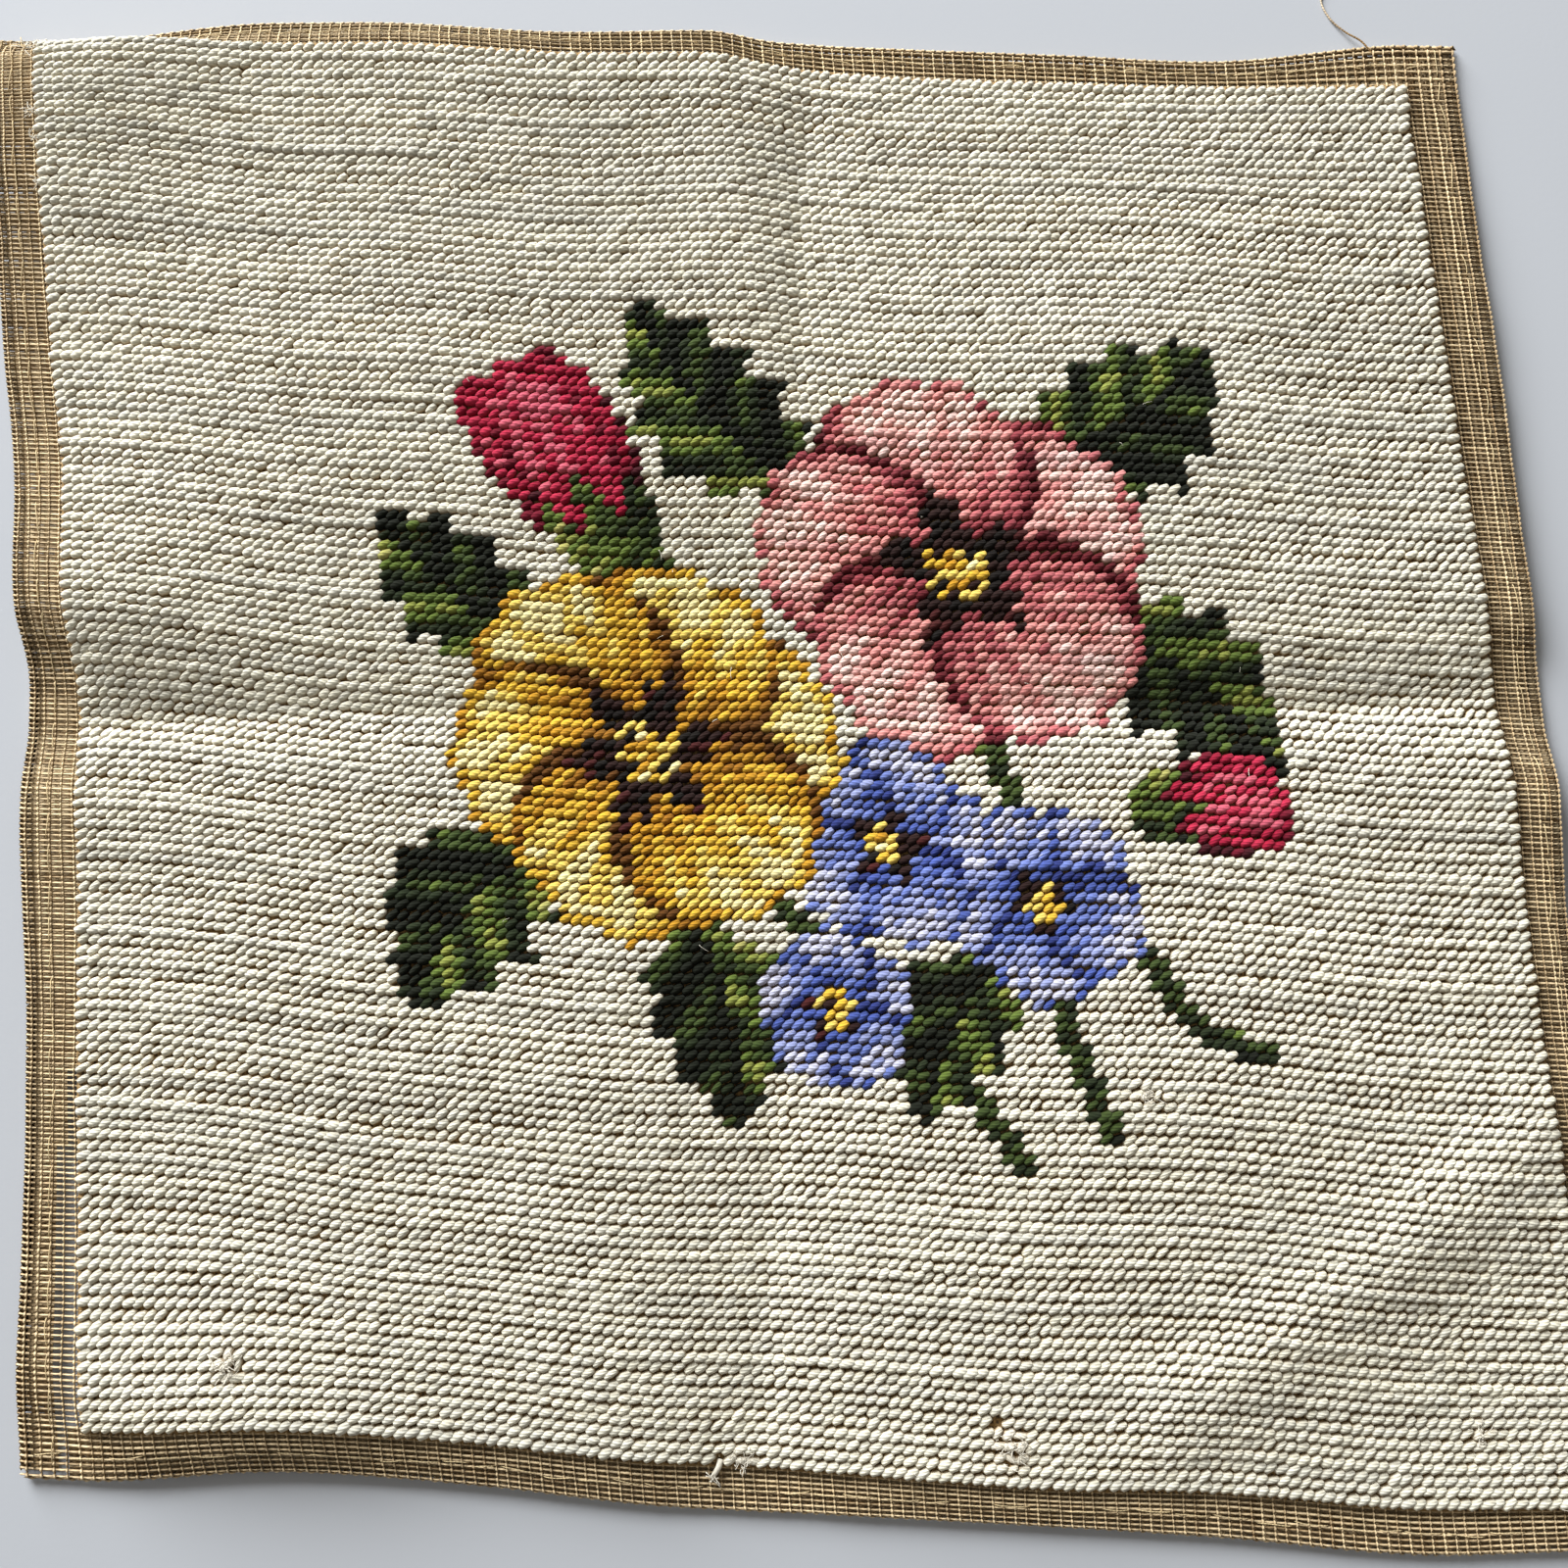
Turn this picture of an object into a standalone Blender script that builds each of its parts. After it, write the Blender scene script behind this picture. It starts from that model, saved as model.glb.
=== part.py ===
"""Needlepoint canvas panel: hemmed canvas, worked wool field and one stray thread.

The panel lies face up as it was unfolded: two fold lines cross near its middle, the
four quarters between them stand a few millimetres high, and the slanting stitches
have pulled it out of square. Sizes below are in millimetres. A place on the cloth is
a share of the worked field, 0 to 1 from left to right and from bottom to top.
"""

import math
from collections import namedtuple

import bmesh
import bpy

MM = 0.001

STITCHES_ACROSS = 140
STITCHES_UP = 132
STITCH_WIDTH = 2.54
STITCH_HEIGHT = 2.66
FIELD_ACROSS = STITCHES_ACROSS * STITCH_WIDTH
FIELD_UP = STITCHES_UP * STITCH_HEIGHT

GAP = 0.35
CANVAS_THICK = 1.0
WOOL_FACE_THICK = 1.5
WOOL_BACK_THICK = 1.0
THREAD_THICK = 0.5

# The hem is the canvas's own edge, turned under. Its raw edge lies a third of the
# margin's width from the wool.
FOLD_RADIUS = (CANVAS_THICK + GAP) / 2
FOLD_REACH = FOLD_RADIUS + CANVAS_THICK / 2
HEM_LEVEL = CANVAS_THICK / 2
CANVAS_LEVEL = HEM_LEVEL + 2 * FOLD_RADIUS
WOOL_FACE_LEVEL = CANVAS_LEVEL + (CANVAS_THICK + WOOL_FACE_THICK) / 2 + GAP
WOOL_BACK_LEVEL = WOOL_BACK_THICK / 2
RAW_EDGE_SHARE = 1 / 3

Margins = namedtuple("Margins", "left right bottom top")
MARGINS = Margins(left=13.5, right=12.5, bottom=10.5, top=8.5)

# Where the worked field's corners lie, seen from above.
Corner = namedtuple("Corner", "x y")
TOP_LEFT = Corner(-194.0, 194.0)
TOP_RIGHT = Corner(165.0, 184.5)
BOTTOM_RIGHT = Corner(189.5, -169.5)
BOTTOM_LEFT = Corner(-162.0, -152.0)

# Along each side, at nine even stations: how far the wool's edge bows outwards from
# the straight line between its corners, and how much canvas shows beyond it.
Station = namedtuple("Station", "bow margin")
LEFT_SIDE = [
    Station(0.0, 14.5),
    Station(-0.5, 14.0),
    Station(-1.5, 13.5),
    Station(-2.0, 13.5),
    Station(-2.5, 12.5),
    Station(-2.0, 12.5),
    Station(-2.0, 15.0),
    Station(0.0, 12.0),
    Station(0.0, 11.0),
]
RIGHT_SIDE = [
    Station(0.0, 11.5),
    Station(0.0, 11.0),
    Station(-0.5, 10.5),
    Station(-1.0, 10.5),
    Station(-0.5, 12.5),
    Station(-1.0, 13.0),
    Station(-2.0, 14.5),
    Station(-2.5, 14.5),
    Station(0.0, 12.5),
]
BOTTOM_SIDE = [
    Station(0.0, 11.0),
    Station(-3.5, 12.0),
    Station(-2.5, 10.5),
    Station(0.0, 10.5),
    Station(0.5, 10.0),
    Station(1.5, 9.0),
    Station(0.5, 10.5),
    Station(2.0, 10.5),
    Station(0.0, 9.5),
]
TOP_SIDE = [
    Station(0.0, 9.0),
    Station(1.0, 9.0),
    Station(2.5, 8.5),
    Station(1.0, 7.5),
    Station(2.0, 7.5),
    Station(-1.5, 9.0),
    Station(-2.5, 9.0),
    Station(-2.5, 8.5),
    Station(0.0, 9.5),
]

# How the cloth stands off the surface, in millimetres over its lowest layer.
LOWEST_SWELL = 1.5
Swell = namedtuple("Swell", "place across up reach_across reach_up height")
SWELLS = [
    Swell("upper left quarter", 0.22, 0.74, 0.19, 0.17, 5.0),
    Swell("left edge above the fold", -0.02, 0.63, 0.13, 0.09, 4.5),
    Swell("top left corner", 0.02, 0.95, 0.10, 0.07, 6.0),
    Swell("left half of the top edge", 0.34, 1.00, 0.17, 0.09, 3.0),
    Swell("upper right quarter", 0.79, 0.74, 0.18, 0.17, 4.5),
    Swell("lower left quarter", 0.20, 0.27, 0.18, 0.16, 4.5),
    Swell("left of the bottom edge", 0.11, 0.00, 0.11, 0.10, 4.5),
    Swell("lower right quarter", 0.74, 0.27, 0.17, 0.17, 5.5),
    Swell("right edge below the fold", 1.02, 0.40, 0.12, 0.10, 2.5),
]

# The two lines it was folded along are valleys. Strength 1 brings it down to the
# surface, and reach is the valley's half width in millimetres.
Valley = namedtuple("Valley", "place start end strengths reaches")
VALLEYS = [
    Valley("level fold", (-0.05, 0.495), (1.05, 0.538), (1.0, 0.9, 0.9), (12, 11)),
    Valley("upright fold", (0.438, -0.05), (0.556, 1.05), (0.85, 0.5, 0.85), (20, 9)),
]

# Where it touches the surface: flat within one radius, and free of it past the other.
Rest = namedtuple("Rest", "place across up flat free")
RESTS = [
    Rest("crossing of the folds", 0.495, 0.515, 24, 62),
    Rest("left end of the level fold", -0.03, 0.496, 3, 24),
    Rest("right end of the level fold", 1.03, 0.537, 3, 24),
    Rest("top end of the upright fold", 0.556, 1.02, 3, 24),
    Rest("bottom end of the upright fold", 0.44, -0.03, 3, 26),
    Rest("top right corner", 1.03, 1.02, 6, 55),
    Rest("bottom right corner", 1.02, -0.02, 25, 75),
    Rest("bottom left corner", -0.03, -0.03, 3, 26),
]

# Lines past which, on their right from start to end, the cloth drops away.
Drop = namedtuple("Drop", "place start end share run")
DROPS = [
    Drop("lower right corner", (0.64, 0.0), (1.02, 0.25), 0.8, 20),
    Drop("edge at the top left corner", (0.17, 1.0), (-0.06, 0.985), 0.75, 9),
]

# Grid lines, as shares of the way from a fold line to the field's edge: close beside
# the fold, where the cloth bends most.
FOLD_TO_EDGE = (0, 0.03, 0.065, 0.11, 0.18, 0.27, 0.38, 0.5, 0.63, 0.76, 0.87, 0.95, 1)
CELLS = 2 * (len(FOLD_TO_EDGE) - 1)

# The stray thread leaves the top hem near its right end. Its route is measured from
# there, seen from above, and it comes down to lie on the surface.
THREAD_LEAVES_AT = 0.972
Bend = namedtuple("Bend", "right up height")
THREAD_ROUTE = [
    Bend(0.0, 0.0, 2.1),
    Bend(-1.9, 1.2, 1.9),
    Bend(-5.5, 4.4, 0.9),
    Bend(-9.0, 8.3, 0.35),
    Bend(-11.2, 12.8, 0.3),
    Bend(-10.8, 16.2, 0.3),
    Bend(-7.0, 22.5, 0.3),
    Bend(-0.2, 27.0, 0.3),
    Bend(3.5, 28.6, 0.3),
]
THREAD_STEP = 1.25
FINE_STEPS = 400

Finish = namedtuple("Finish", "name colour roughness")
CANVAS_FINISH = Finish("sized cotton canvas", (0.46, 0.33, 0.17), 0.85)
WOOL_FINISH = Finish("cream tapestry wool", (0.78, 0.74, 0.60), 0.95)
BACK_FINISH = Finish("cream wool, wrong side", (0.72, 0.68, 0.54), 0.95)
THREAD_FINISH = Finish("canvas thread", (0.52, 0.40, 0.24), 0.85)


def eased(x):
    """Rises from 0 to 1 with no slope at either end."""
    x = min(max(x, 0.0), 1.0)
    return x * x * (3 - 2 * x)


def along(values, share):
    """Reads evenly spaced values at a share of their length, on a smooth curve."""
    place = min(max(share, 0.0), 1.0) * (len(values) - 1)
    first = min(int(place), len(values) - 2)
    near = [values[min(max(first + step, 0), len(values) - 1)] for step in (-1, 0, 1, 2)]
    x = place - first
    return near[1] + x / 2 * (
        near[2] - near[0]
        + x * (2 * near[0] - 5 * near[1] + 4 * near[2] - near[3])
        + x * x * (3 * (near[1] - near[2]) + near[3] - near[0])
    )


def from_line(start, end, across, up):
    """Share of the way along a line, and millimetres to its right."""
    run = (end[0] - start[0]) * FIELD_ACROSS, (end[1] - start[1]) * FIELD_UP
    here = (across - start[0]) * FIELD_ACROSS, (up - start[1]) * FIELD_UP
    length = math.hypot(*run)
    share = (here[0] * run[0] + here[1] * run[1]) / length**2
    return share, (here[0] * run[1] - here[1] * run[0]) / length


def lift(across, up):
    """Height of the cloth's lowest layer over the surface."""
    height = LOWEST_SWELL
    for swell in SWELLS:
        height += swell.height * math.exp(
            -(((across - swell.across) / swell.reach_across) ** 2)
            - ((up - swell.up) / swell.reach_up) ** 2
        )
    for valley in VALLEYS:
        share, aside = from_line(valley.start, valley.end, across, up)
        strength = along(valley.strengths, share)
        reach = along(valley.reaches, share)
        height *= 1 - strength * math.exp(-((aside / reach) ** 2))
    for rest in RESTS:
        away = math.hypot((across - rest.across) * FIELD_ACROSS, (up - rest.up) * FIELD_UP)
        height *= eased((away - rest.flat) / (rest.free - rest.flat))
    for drop in DROPS:
        _, past = from_line(drop.start, drop.end, across, up)
        height *= 1 - drop.share * eased(past / drop.run)
    return height


def seen_from_above(across, up):
    """Where a place on the cloth lies in plan."""
    left, right = 1 - across, across
    below, above = 1 - up, up
    x = (
        left * (below * BOTTOM_LEFT.x + above * TOP_LEFT.x)
        + right * (below * BOTTOM_RIGHT.x + above * TOP_RIGHT.x)
    )
    y = (
        left * (below * BOTTOM_LEFT.y + above * TOP_LEFT.y)
        + right * (below * BOTTOM_RIGHT.y + above * TOP_RIGHT.y)
    )
    inner_across, inner_up = min(max(across, 0), 1), min(max(up, 0), 1)
    x -= (1 - inner_across) * along([s.bow for s in LEFT_SIDE], up)
    x += inner_across * along([s.bow for s in RIGHT_SIDE], up)
    y -= (1 - inner_up) * along([s.bow for s in BOTTOM_SIDE], across)
    y += inner_up * along([s.bow for s in TOP_SIDE], across)
    x -= past_edge(-across * FIELD_ACROSS, MARGINS.left, LEFT_SIDE, up)
    x += past_edge((across - 1) * FIELD_ACROSS, MARGINS.right, RIGHT_SIDE, up)
    y -= past_edge(-up * FIELD_UP, MARGINS.bottom, BOTTOM_SIDE, across)
    y += past_edge((up - 1) * FIELD_UP, MARGINS.top, TOP_SIDE, across)
    return x, y


def past_edge(beyond, usual, side, share):
    """How much further out a place in the margin lies where that margin is wide."""
    return max(beyond, 0) * (along([s.margin for s in side], share) / usual - 1)


def drape(mesh):
    """Lays a flat mesh, in millimetres on the cloth, out as the panel lies."""
    for vertex in mesh.vertices:
        across, up = vertex.co.x / FIELD_ACROSS, vertex.co.y / FIELD_UP
        x, y = seen_from_above(across, up)
        vertex.co = (x, y, max(vertex.co.z + lift(across, up), 0))


def fold_line_at(valley, axis, share):
    """Where a fold line crosses the grid line at this share of the other way."""
    other = 1 - axis
    part = (share - valley.start[other]) / (valley.end[other] - valley.start[other])
    return valley.start[axis] + part * (valley.end[axis] - valley.start[axis])


def line_place(index, middle, before, after):
    """Place of a grid line: the outer lines lie in the margins, the others between
    the field's edges and closest beside the fold line at middle."""
    outer = len(before)
    if index < outer:
        return -before[index]
    if index > outer + CELLS:
        return 1 + after[index - outer - CELLS - 1]
    step = index - outer - CELLS // 2
    reach = FOLD_TO_EDGE[abs(step)]
    return middle - reach * middle if step < 0 else middle + reach * (1 - middle)


def flat_grid(margin_lines, level):
    """A flat sheet on the shared grid. Each side's margin lines are given from the
    field outwards, in millimetres, and none gives the worked field alone."""
    count = len(margin_lines.left)
    segments = CELLS + 2 * count
    bm = bmesh.new()
    bmesh.ops.create_grid(bm, x_segments=segments, y_segments=segments, size=segments / 2)
    level_fold, upright_fold = VALLEYS
    sides = Margins(
        *(
            [line / size for line in lines]
            for lines, size in zip(
                margin_lines, (FIELD_ACROSS, FIELD_ACROSS, FIELD_UP, FIELD_UP)
            )
        )
    )
    for vertex in bm.verts:
        column = round(vertex.co.x + segments / 2)
        row = round(vertex.co.y + segments / 2)
        across = line_place(column, 0.5, sides.left[::-1], sides.right)
        up = line_place(row, 0.5, sides.bottom[::-1], sides.top)
        fold_across = fold_line_at(upright_fold, 0, min(max(up, 0), 1))
        fold_up = fold_line_at(level_fold, 1, min(max(across, 0), 1))
        across = line_place(column, fold_across, sides.left[::-1], sides.right)
        up = line_place(row, fold_up, sides.bottom[::-1], sides.top)
        vertex.co = (across * FIELD_ACROSS, up * FIELD_UP, level)
    bmesh.ops.triangulate(bm, faces=bm.faces, quad_method="FIXED")
    return bm


def outer_loop(bm):
    """The edges round a sheet's outside."""
    return [edge for edge in bm.edges if edge.is_boundary]


def hem_under(bm):
    """Turns the sheet's edge under: a second layer below the outer margin, joined to
    the first by a round fold."""
    low_x, high_x = min(v.co.x for v in bm.verts), max(v.co.x for v in bm.verts)
    low_y, high_y = min(v.co.y for v in bm.verts), max(v.co.y for v in bm.verts)

    def on_edge(vertex):
        return vertex.co.x in (low_x, high_x) or vertex.co.y in (low_y, high_y)

    rim = outer_loop(bm)
    ring = [face for face in bm.faces if any(on_edge(v) for v in face.verts)]
    copy = bmesh.ops.duplicate(bm, geom=ring)["geom"]
    under = [item for item in copy if isinstance(item, bmesh.types.BMVert)]
    bmesh.ops.translate(bm, verts=under, vec=(0, 0, -2 * FOLD_RADIUS))
    under_faces = [item for item in copy if isinstance(item, bmesh.types.BMFace)]
    bmesh.ops.reverse_faces(bm, faces=under_faces)

    for outwards in (FOLD_RADIUS, -FOLD_RADIUS):
        made = bmesh.ops.extrude_edge_only(bm, edges=rim)["geom"]
        rim = [item for item in made if isinstance(item, bmesh.types.BMEdge)]
        for vertex in (item for item in made if isinstance(item, bmesh.types.BMVert)):
            x_side = (vertex.co.x >= high_x) - (vertex.co.x <= low_x)
            y_side = (vertex.co.y >= high_y) - (vertex.co.y <= low_y)
            vertex.co.x += x_side * outwards
            vertex.co.y += y_side * outwards
            vertex.co.z -= FOLD_RADIUS
    bmesh.ops.remove_doubles(bm, verts=bm.verts, dist=0.01)
    bmesh.ops.recalc_face_normals(bm, faces=bm.faces)


def thickened(bm, name, thickness):
    """Gives an open sheet its thickness and returns the closed mesh."""
    mesh = bpy.data.meshes.new(name)
    bm.to_mesh(mesh)
    bm.free()
    sheet = bpy.data.objects.new(name, mesh)
    bpy.context.scene.collection.objects.link(sheet)
    solidify = sheet.modifiers.new("thickness", "SOLIDIFY")
    solidify.thickness = thickness
    solidify.offset = 0
    solidify.use_even_offset = True
    graph = bpy.context.evaluated_depsgraph_get()
    solid = bpy.data.meshes.new_from_object(sheet.evaluated_get(graph))
    bpy.data.objects.remove(sheet)
    bpy.data.meshes.remove(mesh)
    solid.name = name
    return solid


def dressed(item, finish):
    """Gives an object its material."""
    material = bpy.data.materials.new(finish.name)
    material.use_nodes = True
    shader = material.node_tree.nodes["Principled BSDF"]
    shader.inputs["Base Color"].default_value = (*finish.colour, 1)
    shader.inputs["Roughness"].default_value = finish.roughness
    shader.inputs["Metallic"].default_value = 0
    item.data.materials.clear()
    item.data.materials.append(material)
    return item


def cloth_object(collection, mesh, finish):
    """Drapes a flat solid and adds it, in metres, as one object."""
    drape(mesh)
    item = bpy.data.objects.new(mesh.name, mesh)
    collection.objects.link(item)
    return dressed(item, finish)


def make_canvas(collection):
    """The canvas, one sheet with its four edges turned under."""
    lines = Margins(
        *([margin * RAW_EDGE_SHARE, margin - FOLD_REACH] for margin in MARGINS)
    )
    bm = flat_grid(lines, CANVAS_LEVEL)
    hem_under(bm)
    return cloth_object(collection, thickened(bm, "canvas", CANVAS_THICK), CANVAS_FINISH)


def make_wool(collection, name, level, thickness, finish):
    """One face of the worked field, as a slab on the canvas's own grid."""
    bm = flat_grid(Margins([], [], [], []), level)
    return cloth_object(collection, thickened(bm, name, thickness), finish)


def smooth_route():
    """The stray thread's path, read off a smooth curve through its bends."""
    edge = 1 + MARGINS.top / FIELD_UP
    x, y = seen_from_above(THREAD_LEAVES_AT, edge)
    y += GAP
    columns = [[bend[i] for bend in THREAD_ROUTE] for i in range(3)]
    fine = []
    for step in range(FINE_STEPS + 1):
        right, up, height = (along(column, step / FINE_STEPS) for column in columns)
        fine.append((x + right, y + up, height))
    length = sum(math.dist(a, b) for a, b in zip(fine, fine[1:]))
    steps = round(length / THREAD_STEP)
    points, travelled = [fine[0]], 0.0
    for before, after in zip(fine, fine[1:]):
        travelled += math.dist(before, after)
        if travelled >= len(points) * length / steps - 1e-6 and len(points) < steps:
            points.append(after)
    return [*points, fine[-1]]


def make_thread(collection):
    """The stray canvas thread, a fine tube."""
    curve = bpy.data.curves.new("loose_thread", "CURVE")
    curve.dimensions = "3D"
    curve.bevel_depth = THREAD_THICK / 2
    curve.bevel_resolution = 2
    curve.use_fill_caps = True
    route = smooth_route()
    spline = curve.splines.new("POLY")
    spline.points.add(len(route) - 1)
    for point, place in zip(spline.points, route):
        point.co = (*place, 1)
    item = bpy.data.objects.new("loose_thread", curve)
    collection.objects.link(item)
    return dressed(item, THREAD_FINISH)


def stand_at_centre(canvas, items):
    """Puts the canvas's box over the origin and turns millimetres into metres."""
    xs = [vertex.co.x for vertex in canvas.data.vertices]
    ys = [vertex.co.y for vertex in canvas.data.vertices]
    middle = (min(xs) + max(xs)) / 2, (min(ys) + max(ys)) / 2
    for item in items:
        item.scale = (MM, MM, MM)
        item.location = (-middle[0] * MM, -middle[1] * MM, 0)


def main():
    """Builds the panel in a collection of its own."""
    for item in list(bpy.data.objects):
        bpy.data.objects.remove(item)
    collection = bpy.data.collections.new("needlepoint_canvas_panel")
    bpy.context.scene.collection.children.link(collection)
    canvas = make_canvas(collection)
    wool_face = make_wool(
        collection, "wool_face", WOOL_FACE_LEVEL, WOOL_FACE_THICK, WOOL_FINISH
    )
    wool_back = make_wool(
        collection, "wool_back", WOOL_BACK_LEVEL, WOOL_BACK_THICK, BACK_FINISH
    )
    thread = make_thread(collection)
    stand_at_centre(canvas, [canvas, wool_face, wool_back, thread])


main()
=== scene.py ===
"""Dresses the needlepoint canvas panel with its real stitches, weave, hem and thread.

Flat places are in millimetres on the cloth: across from the worked field's left edge,
up from its bottom edge, and over the surface it lies on. PanelShape lays them out.
"""

import logging
import math
from dataclasses import dataclass, field
from enum import Enum

import bmesh
import bpy
import numpy as np
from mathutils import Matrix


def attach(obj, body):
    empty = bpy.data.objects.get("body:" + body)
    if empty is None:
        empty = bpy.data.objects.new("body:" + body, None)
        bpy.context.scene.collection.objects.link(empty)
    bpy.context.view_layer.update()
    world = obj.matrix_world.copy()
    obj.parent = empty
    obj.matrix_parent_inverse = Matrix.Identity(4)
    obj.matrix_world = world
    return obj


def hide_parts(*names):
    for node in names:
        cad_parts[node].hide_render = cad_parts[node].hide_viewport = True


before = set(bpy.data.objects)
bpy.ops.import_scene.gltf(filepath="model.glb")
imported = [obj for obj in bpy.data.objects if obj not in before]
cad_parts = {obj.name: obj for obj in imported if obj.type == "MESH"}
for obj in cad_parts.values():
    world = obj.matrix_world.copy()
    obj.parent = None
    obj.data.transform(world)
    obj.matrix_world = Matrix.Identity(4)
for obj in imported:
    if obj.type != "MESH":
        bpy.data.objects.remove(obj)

log = logging.getLogger("needlepoint_panel")

MM = 0.001
BODY = "root"
SEED = 41
WELD_STEPS = 2e6  # to the metre: vertices that meet to half a micrometre are joined

Socket = bpy.types.NodeSocket
Array = np.ndarray


def linear(code: str) -> tuple[float, float, float, float]:
    """Turns an sRGB hex colour into linear light.

    Args:
        code: The colour as #RRGGBB.

    Returns:
        Red, green, blue and an alpha of 1.
    """
    shares = [int(code[i : i + 2], 16) / 255 for i in (1, 3, 5)]
    light = [c / 12.92 if c <= 0.04045 else ((c + 0.055) / 1.055) ** 2.4 for c in shares]
    return (*light, 1.0)


def add_node(
    tree: bpy.types.NodeTree, kind: str, inputs: dict | None = None, **settings
) -> bpy.types.Node:
    """Adds a node with its settings and links.

    Args:
        tree: The material's node tree.
        kind: The node's type name without ShaderNode.
        inputs: What each input gets, by name or number: another node's socket or a value.
        settings: The node's own properties.

    Returns:
        The new node.
    """
    node = tree.nodes.new("ShaderNode" + kind)
    for name, value in settings.items():
        setattr(node, name, value)
    for name, value in (inputs or {}).items():
        if isinstance(value, Socket):
            tree.links.new(value, node.inputs[name])
        else:
            node.inputs[name].default_value = value
    return node


def start_finish(name: str) -> tuple[bpy.types.Material, bpy.types.NodeTree, bpy.types.Node]:
    """Starts a material.

    Args:
        name: What it is called.

    Returns:
        The material, its node tree and its shader.
    """
    material = bpy.data.materials.new(name)
    material.use_nodes = True
    tree = material.node_tree
    return material, tree, tree.nodes["Principled BSDF"]


def add_scale(tree: bpy.types.NodeTree, vector: Socket, factor: Socket | float) -> Socket:
    """Multiplies a colour or a direction.

    Args:
        tree: The material's node tree.
        vector: What is multiplied.
        factor: By how much.

    Returns:
        The product's socket.
    """
    node = add_node(tree, "VectorMath", {0: vector, "Scale": factor}, operation="SCALE")
    return node.outputs["Vector"]


def add_range(tree: bpy.types.NodeTree, value: Socket, to: tuple, of: tuple = (0.0, 1.0)) -> Socket:
    """Maps a value onto another range.

    Args:
        tree: The material's node tree.
        value: The value.
        to: The lowest and highest results.
        of: The values that give them.

    Returns:
        The result's socket.
    """
    ends = {"From Min": of[0], "From Max": of[1], "To Min": to[0], "To Max": to[1]}
    return add_node(tree, "MapRange", {"Value": value, **ends}).outputs["Result"]


def add_relief(
    tree: bpy.types.NodeTree,
    shader: bpy.types.Node,
    height: Socket,
    strength: float,
    depth: float,
    lie: Socket | None = None,
) -> None:
    """Gives a material relief that is too fine for its mesh.

    Args:
        tree: The material's node tree.
        shader: The material's shader.
        height: How high each place stands.
        strength: How much of the relief shows.
        depth: From lowest to highest, in metres.
        lie: Which way the surface faces, where that isn't the mesh's own way.
    """
    inputs = {"Height": height, "Strength": strength, "Distance": depth}
    if lie is not None:
        inputs["Normal"] = lie
    bump = add_node(tree, "Bump", inputs)
    tree.links.new(bump.outputs["Normal"], shader.inputs["Normal"])


def eased(x: Array) -> Array:
    """Rises from 0 to 1 with no slope at either end."""
    x = np.clip(x, 0.0, 1.0)
    return x * x * (3 - 2 * x)


def along(values: Array, share: Array) -> Array:
    """Reads evenly spaced values at shares of their length, on a smooth curve.

    Args:
        values: The values at even stations.
        share: Where to read them, 0 to 1.

    Returns:
        A value for each share.
    """
    place = np.clip(share, 0, 1) * (len(values) - 1)
    first = np.minimum(place.astype(int), len(values) - 2)
    near = [values[np.clip(first + step, 0, len(values) - 1)] for step in (-1, 0, 1, 2)]
    x = place - first
    return near[1] + x / 2 * (
        near[2]
        - near[0]
        + x * (2 * near[0] - 5 * near[1] + 4 * near[2] - near[3])
        + x * x * (3 * (near[1] - near[2]) + near[3] - near[0])
    )


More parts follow.
